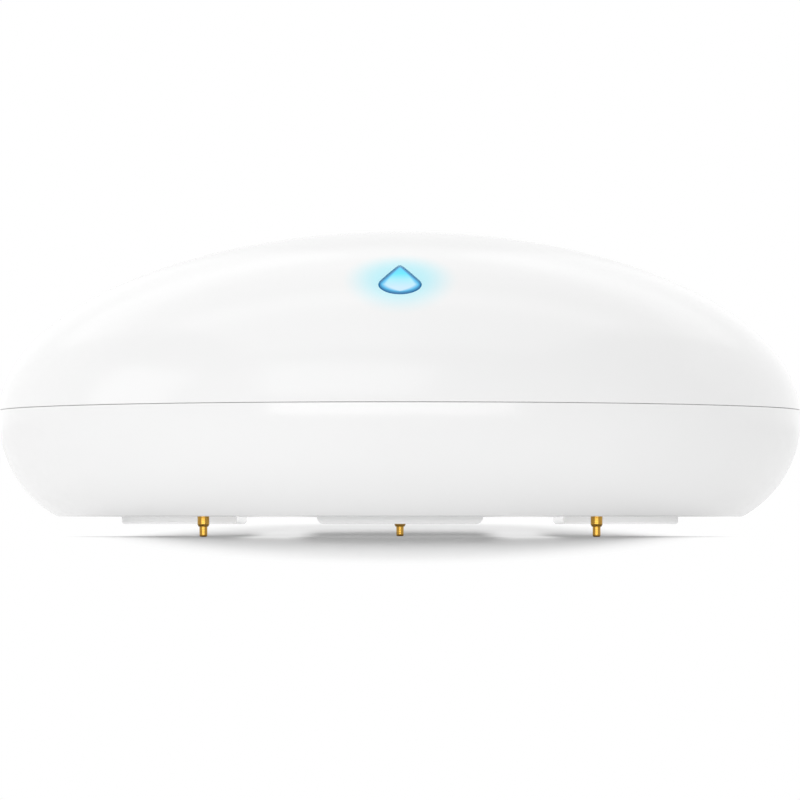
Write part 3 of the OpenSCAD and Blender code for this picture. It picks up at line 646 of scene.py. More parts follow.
# Battery contacts: two sheet plates on the end walls, and a conical spring at the cell's foot.
# Stamped and folded from nickel-plated spring steel; a foot of each is soldered to the board.
contact_t = 0.4
contact_w = 8
contact_edge = 0.12
foot_w = 2.4
window_half = 8.02
arm_y = window_half + foot_w
plate_low = z_floor + foot_w
plate_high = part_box("contact_positive")[1].z / MM
# Nickel plate: warm and bright, with faint rolling lines.
nickel = finish(
    "rolled_nickel_plate", "d6d1c8", "c2bdb4", 0.5, (0.2, 0.28), 0.0006, {"Metallic": 1}, stretch=(0.1, 1, 1),
)
contact_outline = [
    (-contact_w / 2, plate_low, 0.8), (contact_w / 2, plate_low, 0.8),
    (contact_w / 2, z_parts + foot_w / 2, 0.3), (window_half, z_parts + foot_w / 2, 0.3),
    (window_half, z_parts), (arm_y, z_parts), (arm_y, z_parts + 2 * foot_w, 0.8),
    (contact_w / 2, z_parts + 2 * foot_w, 0.3), (contact_w / 2, plate_high, 0.8),
    (-contact_w / 2, plate_high, 0.8),
]
for pole, foot_way in (("positive", 1), ("negative", -1)):
    contact_low, contact_high = box_mm("contact_" + pole)
    x_plate = contact_low.x if foot_way > 0 else contact_high.x - contact_t
    sheet = prism(soften(contact_outline), x_plate, x_plate + contact_t)
    plate = add_piece(pole + "_plate", *facing_x(sheet), bevel=contact_edge)
    foot = prism(rectangle(contact_low.x, contact_high.x, window_half, arm_y), z_parts, z_parts + contact_t)
    combine(plate, add_piece("foot", *foot, bevel=contact_edge), "UNION")
    fit(plate, nickel, "base", "nickel_plate", "contact_" + pole)

cell_wire_r = 0.3
spring_low, spring_high = box_mm("contact_spring")
cone_path = coil_path(
    contact_w / 2 - 0.4, 1.6, spring_low.x + cell_wire_r, spring_high.x - cell_wire_r, 3, 40,
)
cone_spring = add_piece("cone_spring", *lying(tube(cone_path, cell_wire_r), battery_z))
fit(cone_spring, spring_steel, "base", "spring_steel", "contact_spring")


# Cell: a round lithium cell in a drawn can, closed by a gasket and a cap.
# The can is nickel-plated steel and the negative pole; printed film is shrunk over it.
can_low, can_high = box_mm("battery_can")
film_low, film_high = box_mm("battery_sleeve")
cap_low, cap_high = box_mm("battery_cap")
can_r = can_high.y
can_t = 0.3
shoulder = 0.9
nub_r = 3.3
cap_flange_r = cap_high.y
cap_flange_t = 0.5
can_outline = soften([
    (0, can_low.x), (can_r, can_low.x, shoulder), (can_r, can_high.x, shoulder),
    (can_r - 2 * can_t, can_high.x, 0.1), (can_r - 2 * can_t, can_high.x - can_t),
    (can_r - can_t, can_high.x - can_t),
    (can_r - can_t, can_low.x + can_t, shoulder), (0, can_low.x + can_t),
], 6)
cell_can = add_piece("cell_can", *lying(lathe(can_outline, 96), battery_z))
fit(cell_can, nickel, "base", "nickel_plate", "battery_can")
gasket_outline = [
    (cap_flange_r, cap_low.x), (can_r - can_t, cap_low.x), (can_r - can_t, can_high.x - can_t),
    (can_r - 2 * can_t, can_high.x - can_t), (can_r - 2 * can_t, can_high.x - 0.1, 0.1),
    (nub_r, can_high.x - 0.1, 0.1), (nub_r, cap_low.x + cap_flange_t),
    (cap_flange_r, cap_low.x + cap_flange_t),
]
cell_gasket = add_piece("cell_gasket", *lying(lathe(soften(gasket_outline), 96), battery_z))
fit(cell_gasket, black_nylon, "base", "black_plastic", "battery_gasket")
cap_outline = soften([
    (0, cap_low.x), (cap_flange_r, cap_low.x), (cap_flange_r, cap_low.x + cap_flange_t),
    (nub_r, cap_low.x + cap_flange_t), (nub_r, cap_high.x, 0.4), (0, cap_high.x),
])
cell_cap = add_piece("cell_cap", *lying(lathe(cap_outline, 64), battery_z))
fit(cell_cap, nickel, "base", "nickel_plate", "battery_cap")
# Pressed cell mix: dull, dark and grainy; it is seen only with the cell cut open.
cell_mix = finish("pressed_cell_mix", "3a3a3c", "252526", 0.15, (0.8, 0.95), 0.02, {})
finish_node("battery_core", cell_mix)

film_t = 0.1
film_end_r = can_r - shoulder + 0.15
film_outline = soften([
    (film_end_r, film_low.x), (battery_r, film_low.x, shoulder), (battery_r, film_high.x, shoulder),
    (film_end_r, film_high.x), (film_end_r, film_high.x - film_t),
    (can_r, film_high.x - film_t, shoulder), (can_r, film_low.x + film_t, shoulder),
    (film_end_r, film_low.x + film_t),
], 6)
cell_film = add_piece("cell_film", *lying(lathe(film_outline, 96), battery_z))
# Shrunk film: glossy printed plastic with a pale band at the plus end, a thin line beside it, and
# fine creases drawn tight round the ends.
film_blue = "1e3a78"
film_pale = "dfe3e8"
film, tree = start_material("printed_shrink_film")
place = object_point(tree)
along = add_node(tree, "ShaderNodeSeparateXYZ", {0: place})
print_at = spread(tree, along.outputs["X"], film_low.x * MM, film_high.x * MM)
bands = add_node(tree, "ShaderNodeValToRGB", {"Fac": print_at})
bands.color_ramp.interpolation = "CONSTANT"
bands.color_ramp.elements[0].color = linear(film_blue)
bands.color_ramp.elements[1].position = 0.7
bands.color_ramp.elements[1].color = linear(film_pale)
for stop, colour in ((0.86, film_blue), (0.885, film_pale), (0.9, film_blue)):
    bands.color_ramp.elements.new(stop).color = linear(colour)
drawn = add_node(tree, "ShaderNodeMapping", {"Vector": place, "Scale": (0.15, 1, 1)})
creases = noise(tree, drawn.outputs[0], 1.2, 2)
surface(tree, {
    "Base Color": bands.outputs[0], "Roughness": spread(tree, creases, 0, 1, 0.18, 0.32), "IOR": 1.54,
    "Normal": relief(tree, creases, 0.25, 0.03),
})
fit(cell_film, film, "base", "sleeve_film", "battery_sleeve")


# Main board: a round board with a window for the cell, screwed to the four posts.
# Glass laminate, 1.6 mm, routed and drilled, with green solder mask over etched copper; bare
# copper is tinned or gilded, and the legend is screen-printed.
board_low, board_high = box_mm("main_board")
board_r = board_high.x
board_edge = 0.08
window_x = (x_holder[0] - 0.6, x_holder[1] + 0.6)
window_corner = 1
board_outline = soften([
    (0, board_low.z), (board_r, board_low.z, board_edge), (board_r, z_parts, board_edge), (0, z_parts),
])
board = add_piece("circuit_board", *lathe(board_outline, 160))
window = [(*corner, window_corner) for corner in rectangle(*window_x, -window_half, window_half)]
combine(board, add_piece("openings", *together(
    [prism(soften(window), board_low.z - 1, z_parts + 1)]
    + [placed(rod(screw_hole_r, board_low.z - 1, z_parts + 1), *spot) for spot in post_spots]
)), "DIFFERENCE")


def reckon(tree, operation, *values):
    """The output of a maths step on one or two values."""
    return add_node(tree, "ShaderNodeMath", dict(enumerate(values)), operation=operation).outputs[0]


# Solder mask: a green varnish, glossy but not flat, with the glass weave just showing.
weave_mm = 0.5
mask, tree = start_material("green_solder_mask")
place = object_point(tree)
weave = [
    add_node(
        tree, "ShaderNodeTexWave",
        {"Vector": place, "Scale": per_mm(weave_mm) / 3, "Distortion": 1.5, "Detail": 1},
        bands_direction=way,
    ).outputs["Fac"] for way in ("X", "Y")
]
cloth = reckon(tree, "MULTIPLY", *weave)
surface(tree, {
    "Base Color": blend(tree, cloth, "145238", "1a6142"), "Roughness": 0.28, "IOR": 1.5,
    "Normal": relief(tree, cloth, 0.15, 0.01),
})
fit(board, mask, "base", "board_laminate", "main_board")
# Cut laminate: the routed edge shows the bare straw-coloured glass and resin in layers.
cut_laminate = finish(
    "routed_glass_laminate", "b9a468", "93804a", 0.4, (0.6, 0.75), 0.01, {"IOR": 1.5}, stretch=(1, 1, 4),
)
board.data.materials.append(cut_laminate)
for face in board.data.polygons:
    face.material_index = int(abs(face.normal.z) < 0.5)


def strip(path, width):
    """The outline of a flat strip along a path with mitred corners."""
    spots = [Vector(p) for p in path]
    left, right = [], []
    for i, spot in enumerate(spots):
        ways = [(b - a).normalized() for a, b in zip(spots[max(i - 1, 0):i + 1], spots[max(i, 1):i + 2])]
        across = sum((Vector((-way.y, way.x)) for way in ways), Vector((0, 0))).normalized()
        reach = width / 2 / across.dot(Vector((-ways[0].y, ways[0].x)))
        left.append(tuple(spot + across * reach))
        right.append(tuple(spot - across * reach))
    return left + right[::-1]


# Copper tracks under the mask, from the controller out to the other parts.
chip_x, chip_y = -10.5, -14.12
chip_half = 3.5
lead_pitch = 2 * chip_half / 9
track_t = 0.04
track_w = 0.32
track_gap = 0.7
chip_right, chip_left = chip_x + chip_half + 1, chip_x - chip_half - 1
lead_y = [chip_y + lead_pitch * (i - 3.5) for i in range(8)]
tracks = []
for i in range(3):
    step = track_gap * i
    x_left = -24.9 + step
    tracks.append([
        (chip_left, lead_y[5 + i]), (x_left + 3, lead_y[5 + i]), (x_left, lead_y[5 + i] + 3), (x_left, 9.2),
        (x_left + 4.5, 13.7),
    ])
    bend = chip_right + 1 + step
    run = -21.6 - step
    tracks.append([
        (chip_right, lead_y[2 - i]), (bend, lead_y[2 - i]), (bend, run + 1.5), (bend + 1.5, run),
        (13.8 + step, run), (15 + step, run + 1.2),
    ])
    tracks.append([(21.4 + step, -11.5 + step), (21.4 + step, 8.6), (17.2 + step, 12.8)])
    tracks.append([(-3.6 + 1.4 * i, 8.9), (-3.6 + 1.4 * i, 10.2), (1.2, 15 - 1.4 * i)])
    lead_x = chip_x + lead_pitch * (i - 1)
    tracks.append([
        (lead_x, chip_y - 4.4), (lead_x, -20.6 + step), (lead_x + 3.4, -24 + step), (-3.4, -24 + step),
    ])
for i in range(2):
    tracks.append([(chip_right, lead_y[6 + i]), (-5 + i, lead_y[6 + i]), (-4 + i, lead_y[6 + i] + 1)])
    tracks.append([(7.4, -12.6 - 3.8 * i), (6.8, -12.6 - 3.8 * i), (5.8, -13.6 - 1.8 * i)])
track_set = add_piece("board_tracks", *together([
    prism(strip(path, track_w), z_parts, z_parts + track_t) for path in tracks
]))
# Mask over copper: the same varnish, lighter where metal lies under it.
mask_on_copper = mask.copy()
mask_on_copper.name = "green_solder_mask_on_copper"
for node in mask_on_copper.node_tree.nodes:
    if node.type == "MIX":
        node.inputs[6].default_value = linear("2c8257")
        node.inputs[7].default_value = linear("358f61")
fit(track_set, mask_on_copper, "base", "board_laminate")

# Vias where tracks change sides, and a row of round test pads near the front edge.
via_r = 0.42
via_hole_r = 0.18
pad_t = 0.05
test_r = 0.7
test_at = 27.2
via_outline = [(via_hole_r, 0), (via_r, 0), (via_r, pad_t), (via_hole_r, pad_t)]
via_spots = [path[-1] for path in tracks] + [path[0] for path in tracks if path[0][1] > -12]
test_spots = [(test_at * cos(radians(a)), test_at * sin(radians(a))) for a in range(-78, -57, 5)]
disc = lathe(soften([(0, 0), (test_r, 0), (test_r, pad_t, 0.02), (0, pad_t)]), 24)
# Immersion gold: pale yellow and slightly rough from the etched copper under it.
pad_gold = finish("immersion_gold", "e6c878", "cfa955", 0.2, (0.3, 0.42), 0.004, {"Metallic": 1})
pads = add_piece("board_pads", *together(
    [placed(lathe(via_outline, 16), *spot, z_parts) for spot in via_spots]
    + [placed(disc, *spot, z_parts) for spot in test_spots]
))
fit(pads, pad_gold, "base", "gold_plate")


def band(outer, inner, low, high):
    """A closed band between two outlines of as many points."""
    count = len(outer)
    points = [(x, y, z) for z in (low, high) for ring in (outer, inner) for x, y in ring]
    faces = []
    for s in range(count):
        t = (s + 1) % count
        for a, b in ((0, 1), (1, 3), (3, 2), (2, 0)):
            faces.append([a * count + s, a * count + t, b * count + t, b * count + s])
    return points, faces


# The legend: plain outlines round the parts, with a corner mark at the controller.
ink_t = 0.02
ink_w = 0.18


def ring_mark(x, y, r):
    """A printed circle."""
    return placed(lathe([(r, 0), (r + ink_w, 0), (r + ink_w, ink_t), (r, ink_t)], 64), x, y, z_parts)


def frame_mark(x, y, half_x, half_y):
    """A printed rectangle."""
    outer = rectangle(x - half_x - ink_w, x + half_x + ink_w, y - half_y - ink_w, y + half_y + ink_w)
    return band(outer, rectangle(x - half_x, x + half_x, y - half_y, y + half_y), z_parts, z_parts + ink_t)


ring_marks = (
    (-11.5, 16.62, 7.25), (17.6, -18.6, 2.6), (-26.3, 0, 3.35), (-17.5, -20.5, 1.4), (24.35, 0, 3.2),
)
frame_marks = (
    (chip_x, chip_y, 4.6, 4.6), (11, -14.52, 3.2, 4.2), (0.5, -11.77, 4.8, 2.2), (9.1, 15.62, 7.8, 6.3),
)
corner_mark = 4.9
legend = add_piece("board_legend", *together(
    [ring_mark(*mark) for mark in ring_marks] + [frame_mark(*mark) for mark in frame_marks]
    + [placed(disc, chip_x - corner_mark, chip_y + corner_mark, z_parts)]
))
# Screen-printed ink: flat white, a little thin at its edges.
legend_ink = finish("screen_printed_ink", "f0f0ea", "d9dad2", 0.15, (0.6, 0.75), 0.004, {"IOR": 1.5})
fit(legend, legend_ink, "base", "board_laminate")


# Controller: a square chip soldered on the front half of the board.
# Epoxy moulded round a lead frame; the tinned leads are bent down to the board on four sides.
chip_low, chip_high = box_mm("controller_chip")
chip_lift = 0.1
chip_corner = 0.25
lead_t = 0.15
lead_w = 0.36
lead_reach = chip_high.x - chip_x
chip_square = [(*corner, chip_corner) for corner in rectangle(-chip_half, chip_half, -chip_half, chip_half)]
moulding_edge = 0.12
chip_block = prism(soften(chip_square), chip_low.z + chip_lift, chip_high.z)
chip_body = add_piece("controller_body", *placed(chip_block, chip_x, chip_y), bevel=moulding_edge)
dimple_r, dimple_depth, dimple_in = 0.4, 0.08, 1
dimple = placed(
    rod(dimple_r, chip_high.z - dimple_depth, chip_high.z + 1),
    chip_x - chip_half + dimple_in, chip_y + chip_half - dimple_in,
)
combine(chip_body, add_piece("dimple", *dimple), "DIFFERENCE")
# Moulding epoxy: charcoal, matt from a spark-eroded mould.
epoxy = finish("moulded_epoxy", "2a2b2d", "1c1d1f", 0.12, (0.5, 0.65), 0.01, {"IOR": 1.55})
fit(chip_body, epoxy, "base", "black_plastic", "controller_chip")
knee = chip_half + 0.35
knee_z = 0.5
lead_root = chip_half - 0.1
lead_outline = soften([
    (lead_root, knee_z), (knee, knee_z, 0.1), (knee + 0.12, 0, 0.1), (lead_reach, 0), (lead_reach, lead_t),
    (knee + 0.22, lead_t, 0.1), (knee + 0.1, knee_z + lead_t, 0.1), (lead_root, knee_z + lead_t),
], 3)
lead = [(px, pz, py) for px, py, pz in prism(lead_outline, -lead_w / 2, lead_w / 2)[0]]
lead_faces = prism(lead_outline, 0, 1)[1]
chip_leads = []
for quarter in range(4):
    for i in range(8):
        slid = [(px, py + lead_pitch * (i - 3.5), pz) for px, py, pz in lead]
        chip_leads.append(placed((slid, lead_faces), chip_x, chip_y, z_parts, turn=90 * quarter))
# Tin plate: pale and satin.
tin = finish("tinned_steel", "d3d6d8", "bfc3c6", 0.3, (0.28, 0.38), 0.001, {"Metallic": 1})
fit(add_piece("controller_leads", *together(chip_leads)), tin, "base", "nickel_plate")


# Crystal: the clock's quartz in a drawn can, between the controller and the switch.
# Nickel-silver, deep drawn and welded to a flanged foot.
crystal_low, crystal_high = box_mm("crystal")
crystal_mid = (crystal_low + crystal_high) / 2
crystal_r = 1.75
crystal_flat = 2.25
crystal_edge = 0.45
crystal_foot_h = 0.4
crystal_foot_share = 1.12
stadium = arc((crystal_flat, 0), crystal_r, -90, 90, 20) + arc((-crystal_flat, 0), crystal_r, 90, 270, 20)
crystal_can = add_piece(
    "crystal_can", *placed(prism(stadium, crystal_low.z, crystal_high.z), crystal_mid.x, crystal_mid.y),
    bevel=crystal_edge, segments=5,
    bevel_if=lambda e: all(v.co.z > (crystal_high.z - 0.01) * MM for v in e.verts),
)
flange_outline = [(crystal_foot_share * x, crystal_foot_share * y) for x, y in stadium]
flange = prism(flange_outline, crystal_low.z, crystal_low.z + crystal_foot_h)
combine(crystal_can, add_piece("flange", *placed(flange, crystal_mid.x, crystal_mid.y), bevel=0.1), "UNION")
fit(crystal_can, nickel, "base", "nickel_plate", "crystal")


# Chip parts: a dozen small resistors and capacitors.
# Fired ceramic blocks with a tinned cap at each end, soldered flat on the board.
part_l, part_w, part_h = 1.6, 0.8, 0.6
end_l = 0.35
part_spots = (
    (-4.5, -19.5, 0), (-4.5, -17.5, 0), (-1.6, -16.8, 90), (3, -16, 0), (3.4, -18.2, 0), (-16.5, -13, 90),
    (-16.5, -15.6, 90), (5.8, -14.6, 90), (0, 11.5, 0), (0, 13.5, 0), (-2, 25.5, 90), (1, 26, 90),
)
cap_lip = 0.03
block_l, block_w = part_l / 2 - end_l, part_w / 2 - cap_lip
block = prism(rectangle(-block_l, block_l, -block_w, block_w), cap_lip, part_h - cap_lip)
caps = [
    prism(rectangle(x, x + end_l, -part_w / 2, part_w / 2), 0, part_h)
    for x in (-part_l / 2, part_l / 2 - end_l)
]
# Fired ceramic: tan to brown, dull, speckled.
ceramic = finish("fired_ceramic", "a98a68", "8a6c4c", 0.2, (0.55, 0.7), 0.006, {"IOR": 1.6})
part_blocks = [placed(block, x, y, z_parts, turn) for x, y, turn in part_spots]
fit(add_piece("chip_part_blocks", *together(part_blocks)), ceramic, "base", "chip_ceramic", "chip_parts")
part_caps = [placed(cap, x, y, z_parts, turn) for x, y, turn in part_spots for cap in caps]
fit(add_piece("chip_part_caps", *together(part_caps), bevel=0.08), tin, "base", "nickel_plate")


# Status lamp and light guide: the light behind the drop.
# A square lamp with a reflector cup, and over it a clear polycarbonate column on a foot, which
# brings the light up to the lens.
lamp_low, lamp_high = box_mm("status_lamp")
lamp_y = (lamp_low.y + lamp_high.y) / 2
# Lamp resin: chalk-white and matt, so that the cup throws the light up.
lamp_resin = finish("white_lamp_resin", "f1f0ea", "e2e1d8", 0.4, (0.5, 0.6), 0.006, {"IOR": 1.5})
finish_node("status_lamp", lamp_resin)
fill_r = 1.6
fill = soften([
    (0, lamp_high.z - 0.4), (fill_r, lamp_high.z - 0.4), (fill_r, lamp_high.z - 0.1), (0, lamp_high.z - 0.05),
])
lamp_fill = add_piece("lamp_fill", *placed(lathe(fill, 32), 0, lamp_y))
# Lit silicone fill: it glows cyan, paler in the middle.
lit_fill, tree = start_material("lit_silicone_fill")
from_lamp = add_node(
    tree, "ShaderNodeVectorMath",
    {0: object_point(tree), 1: Vector((0, lamp_y, lamp_high.z)) * MM}, operation="DISTANCE",
)
fill_share = spread(tree, from_lamp.outputs["Value"], 0, fill_r * MM)
surface(tree, {
    "Base Color": linear("9fd8e4"), "Roughness": 0.3, "IOR": 1.41,
    "Emission Color": blend(tree, fill_share, "e4fbff", "5fdcf6"), "Emission Strength": 1,
})
fit(lamp_fill, lit_fill, "base", "blue_lens")
# Clear polycarbonate: water-clear with a faint haze from the mould.
clear_pc = finish(
    "clear_polycarbonate", "f2fafc", "e6f4f8", 1.5, (0.04, 0.1), 0.002,
    {"IOR": 1.58, "Transmission Weight": 0.9},
)
finish_node("light_guide", clear_pc)


# Buzzer: a round can on the rear half of the board, with a sound hole over a brass disc.
# Moulded in the same epoxy-black plastic; the disc carries a ceramic that bends it.
buzzer_low, buzzer_high = box_mm("buzzer_case")
buzzer_mid = (buzzer_low + buzzer_high) / 2
buzzer_r = buzzer_high.x - buzzer_mid.x
buzzer_wall = 0.8
buzzer_step = buzzer_wall + 0.6
z_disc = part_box("buzzer_disc")[0].z / MM
buzzer_roof = buzzer_high.z - buzzer_wall
buzzer_dip = buzzer_high.z - 0.15
sound_r = 1
buzzer_outline = soften([
    (buzzer_r - buzzer_step, buzzer_low.z), (buzzer_r, buzzer_low.z, 0.1), (buzzer_r, buzzer_high.z, 0.5),
    (buzzer_r - 1.2, buzzer_high.z), (buzzer_r - 1.3, buzzer_dip), (buzzer_r - 1.6, buzzer_dip),
    (buzzer_r - 1.7, buzzer_high.z), (2.2, buzzer_high.z), (1.9, buzzer_dip, 0.1),
    (sound_r, buzzer_dip, 0.1), (sound_r, buzzer_roof), (buzzer_r - buzzer_wall, buzzer_roof),
    (buzzer_r - buzzer_wall, z_disc), (buzzer_r - buzzer_step, z_disc),
])
buzzer = add_piece("buzzer_can", *placed(lathe(buzzer_outline, 96), buzzer_mid.x, buzzer_mid.y))
fit(buzzer, epoxy, "base", "black_plastic", "buzzer_case")
# Rolled brass: yellow, satin, with rolling lines.
brass = finish(
    "rolled_brass", "cfae5c", "b8923f", 0.4, (0.3, 0.42), 0.004, {"Metallic": 1}, stretch=(0.1, 1, 1),
)
finish_node("buzzer_disc", brass)


# Service switch: a square push switch with its round button.
# A black moulded body under a steel cover plate with four rivets; the button is grey nylon.
switch_x, switch_y = 11, -14.52
switch_half = 3
switch_corner = 0.3
switch_lift = 0.2
cover_plate_t = 0.3
cover_plate_half = 2.9
cover_plate_corner = 0.5
cover_plate_edge = 0.06
bore_floor = 1.2
button_gap = 0.1
button_edge = 0.35
button_rim = 0.6
button_dish = 0.15
switch_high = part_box("switch_housing")[1].z / MM
button_low, button_high = box_mm("service_button")
button_r = (button_high.x - button_low.x) / 2
z_plate = switch_high - cover_plate_t


def rounded_square(half, corner_r):
    """A square outline about the origin, with rounded corners."""
    return soften([(*corner, corner_r) for corner in rectangle(-half, half, -half, half)])


switch_block = prism(rounded_square(switch_half, switch_corner), z_parts + switch_lift, z_plate)
switch_body = add_piece("switch_body", *placed(switch_block, switch_x, switch_y), bevel=moulding_edge)
bore = rod(button_r + button_gap, z_parts + bore_floor, switch_high + 1, 48)
combine(switch_body, add_piece("bore", *placed(bore, switch_x, switch_y)), "DIFFERENCE")
fit(switch_body, epoxy, "base", "black_plastic", "switch_housing")
plate_sheet = prism(rounded_square(cover_plate_half, cover_plate_corner), z_plate, switch_high)
cover_plate = add_piece("switch_plate", *placed(plate_sheet, switch_x, switch_y), bevel=cover_plate_edge)
combine(cover_plate, add_piece("bore", *placed(bore, switch_x, switch_y)), "DIFFERENCE")
fit(cover_plate, tin, "base", "nickel_plate")
rivet_r, rivet_h, rivet_at = 0.45, 0.25, 2.25
rivet_side = [(rivet_r * cos(radians(a)), rivet_h * sin(radians(a))) for a in range(0, 90, 15)]
rivet = lathe([(0, 0)] + rivet_side + [(0, rivet_h)], 20)
rivets = [
    placed(rivet, switch_x + x, switch_y + y, switch_high)
    for x in (-rivet_at, rivet_at) for y in (-rivet_at, rivet_at)
]
fit(add_piece("switch_rivets", *together(rivets)), epoxy, "base", "black_plastic")
leg = prism(strip([(-2.9, 1.1), (-3.15, 1.1), (-3.3, 0.08), (-4, 0.08)], 0.16), -0.4, 0.4)
leg = ([(pz, px, py) for px, py, pz in leg[0]], leg[1])
legs = [
    placed(placed(leg, x, 0, 0), switch_x, switch_y, z_parts, turn) for x in (-2, 2) for turn in (0, 180)
]
fit(add_piece("switch_legs", *together(legs)), tin, "base", "nickel_plate")
button_outline = soften([
    (0, button_low.z), (button_r, button_low.z), (button_r, button_high.z, button_edge),
    (button_r - button_rim, button_high.z, 0.1), (0, button_high.z - button_dish),
])
button_mid = (button_low + button_high) / 2
button = add_piece("button_cap", *placed(lathe(button_outline, 48), button_mid.x, button_mid.y))
# Satin nylon: mid grey with a soft even sheen.
grey_nylon = finish("satin_grey_nylon", "6a6c70", "5a5c60", 0.3, (0.35, 0.45), 0.006, {"IOR": 1.53})
fit(button, grey_nylon, "button", "grey_plastic", "service_button")


# Radio: a small board of its own under a folded shield, on the rear half.
# Laminate with half holes along its edges, soldered on; the shield is pierced tinned steel.
finish_node("radio_board", mask_on_copper)
radio_low, radio_high = box_mm("radio_board")
shield_low, shield_high = box_mm("radio_shield")
shield_mid = (shield_low + shield_high) / 2
shield_t = 0.3
shield_l, shield_w = shield_high.x - shield_low.x, shield_high.y - shield_low.y
half_hole_r = 0.4
half_pad_r = half_hole_r + 0.22
vent_r = 0.5
pads_a_side = 8


def shield_plan(inset):
    """The shield's outline from above, drawn in by that much."""
    return rectangle(
        shield_low.x + inset, shield_high.x - inset, shield_low.y + inset, shield_high.y - inset,
    )


shield = add_piece(
    "shield_box", *prism(shield_plan(0), shield_low.z, shield_high.z), bevel=0.35, segments=4,
    bevel_if=lambda e: any(v.co.z > (shield_low.z + 0.01) * MM for v in e.verts),
)
hollow = prism(shield_plan(shield_t), shield_low.z - 1, shield_high.z - shield_t)
combine(shield, add_piece("hollow", *hollow), "DIFFERENCE")
vent = rod(vent_r, shield_high.z - 1, shield_high.z + 1, 24)
vents = [
    placed(vent, shield_mid.x + i * shield_l / 4, shield_mid.y + j * shield_w / 4)
    for i in (-1, 0, 1) for j in (-1, 0, 1)
]
combine(shield, add_piece("vents", *together(vents)), "DIFFERENCE")
fit(shield, tin, "base", "nickel_plate", "radio_shield")
half_pads = []
for i in range(1, pads_a_side + 1):
    x = radio_low.x + i * (radio_high.x - radio_low.x) / (pads_a_side + 1)
    for y, start in ((radio_low.y, 0), (radio_high.y, 180)):
        outer = arc((x, y), half_pad_r, start, start + 180, 12)
        inner = arc((x, y), half_hole_r, start + 180, start, 12)
        half_pads.append(prism(outer + inner, radio_high.z, radio_high.z + pad_t))
fit(add_piece("radio_pads", *together(half_pads)), pad_gold, "base", "gold_plate")


# Antenna: an open coil that stands at the right end of the board.
# Enamelled copper wire, wound on a mandrel and soldered by its straight leg.
antenna_low, antenna_high = box_mm("antenna_coil")
antenna_wire_r = 0.4
antenna_r = antenna_high.y - antenna_wire_r
antenna_x = antenna_high.x - antenna_r - antenna_wire_r
antenna_leg = 1.4
winding = [(antenna_r, 0, antenna_low.z), (antenna_r, 0, antenna_low.z + antenna_leg / 2)] + coil_path(
    antenna_r, antenna_r, antenna_low.z + antenna_leg, antenna_high.z - antenna_wire_r, 5, 40,
)
antenna = add_piece("antenna_wire", *placed(tube(winding, antenna_wire_r), antenna_x, 0))
# Enamelled copper: warm orange brown under a clear glossy varnish.
copper = finish(
    "enamelled_copper", "c9763f", "b0602d", 0.3, (0.22, 0.3), 0.003,
    {"Metallic": 1, "Coat Weight": 0.6, "Coat Roughness": 0.1},
)
fit(antenna, copper, "base", "copper_wire", "antenna_coil")


# Supply capacitor, tilt sensor and thermistor: the round parts round the board's edge.
# A drawn aluminium can with a rolled groove and a scored top, a crimped steel can, and a glass
# bead on two leads.
capacitor_low, capacitor_high = box_mm("supply_capacitor")
capacitor_mid = (capacitor_low + capacitor_high) / 2
capacitor_r = (capacitor_high.x - capacitor_low.x) / 2
z_capacitor_top = capacitor_high.z - 0.1
capacitor_outline = soften([
    (0, capacitor_low.z), (capacitor_r, capacitor_low.z, 0.15), (capacitor_r, capacitor_low.z + 0.8, 0.1),
    (capacitor_r - 0.3, capacitor_low.z + 1.1, 0.12), (capacitor_r, capacitor_low.z + 1.4, 0.1),
    (capacitor_r, capacitor_high.z, 0.45), (capacitor_r - 0.7, capacitor_high.z),
    (capacitor_r - 0.8, z_capacitor_top), (0, z_capacitor_top),
])
capacitor = add_piece(
    "capacitor_can", *placed(lathe(capacitor_outline, 64), capacitor_mid.x, capacitor_mid.y),
)
score = prism(rectangle(-1.8, 1.8, -0.07, 0.07), capacitor_high.z - 0.2, capacitor_high.z + 1)
for turn in (30, 150):
    cut = placed(score, capacitor_mid.x, capacitor_mid.y, 0, turn)
    combine(capacitor, add_piece("score", *cut), "DIFFERENCE")
# Drawn aluminium: bright satin, with a black printed segment on top for the minus side.
aluminium = finish(
    "drawn_aluminium", "d2d4d6", "b9bcbf", 0.35, (0.26, 0.36), 0.001, {"Metallic": 1}, stretch=(1, 1, 0.15),
)
fit(capacitor, aluminium, "base", "capacitor_can", "supply_capacitor")
mark = arc((0, 0), capacitor_r - 0.85, 120, 240, 20)
polarity = placed(prism(mark, z_capacitor_top, z_capacitor_top + ink_t), capacitor_mid.x, capacitor_mid.y)
fit(add_piece("capacitor_mark", *polarity), epoxy, "base", "black_plastic")

tilt_low, tilt_high = box_mm("tilt_sensor")
tilt_mid = (tilt_low + tilt_high) / 2
tilt_r = (tilt_high.x - tilt_low.x) / 2
tilt_step = 0.3
z_tilt_rim = tilt_low.z + 0.5
tilt_outline = soften([
    (0, tilt_low.z), (tilt_r, tilt_low.z, 0.1), (tilt_r, z_tilt_rim, 0.15),
    (tilt_r - tilt_step, z_tilt_rim, 0.08), (tilt_r - tilt_step, tilt_high.z, 0.6), (0, tilt_high.z),
])
tilt = add_piece("tilt_can", *placed(lathe(tilt_outline, 48), tilt_mid.x, tilt_mid.y))
fit(tilt, nickel, "base", "nickel_plate", "tilt_sensor")

bead_low, bead_high = box_mm("thermistor")
bead_mid = (bead_low + bead_high) / 2
bead_r = (bead_high.x - bead_low.x) / 2
z_bead = bead_high.z - bead_r
bead_outline = [(0, z_bead - 1.6 * bead_r), (0.55, z_bead - 1.3 * bead_r, 0.2)]
bead_outline += arc((0, z_bead), bead_r, -40, 84, 14) + [(0, bead_high.z)]
bead = add_piece("thermistor_bead", *placed(lathe(soften(bead_outline), 32), bead_mid.x, bead_mid.y))
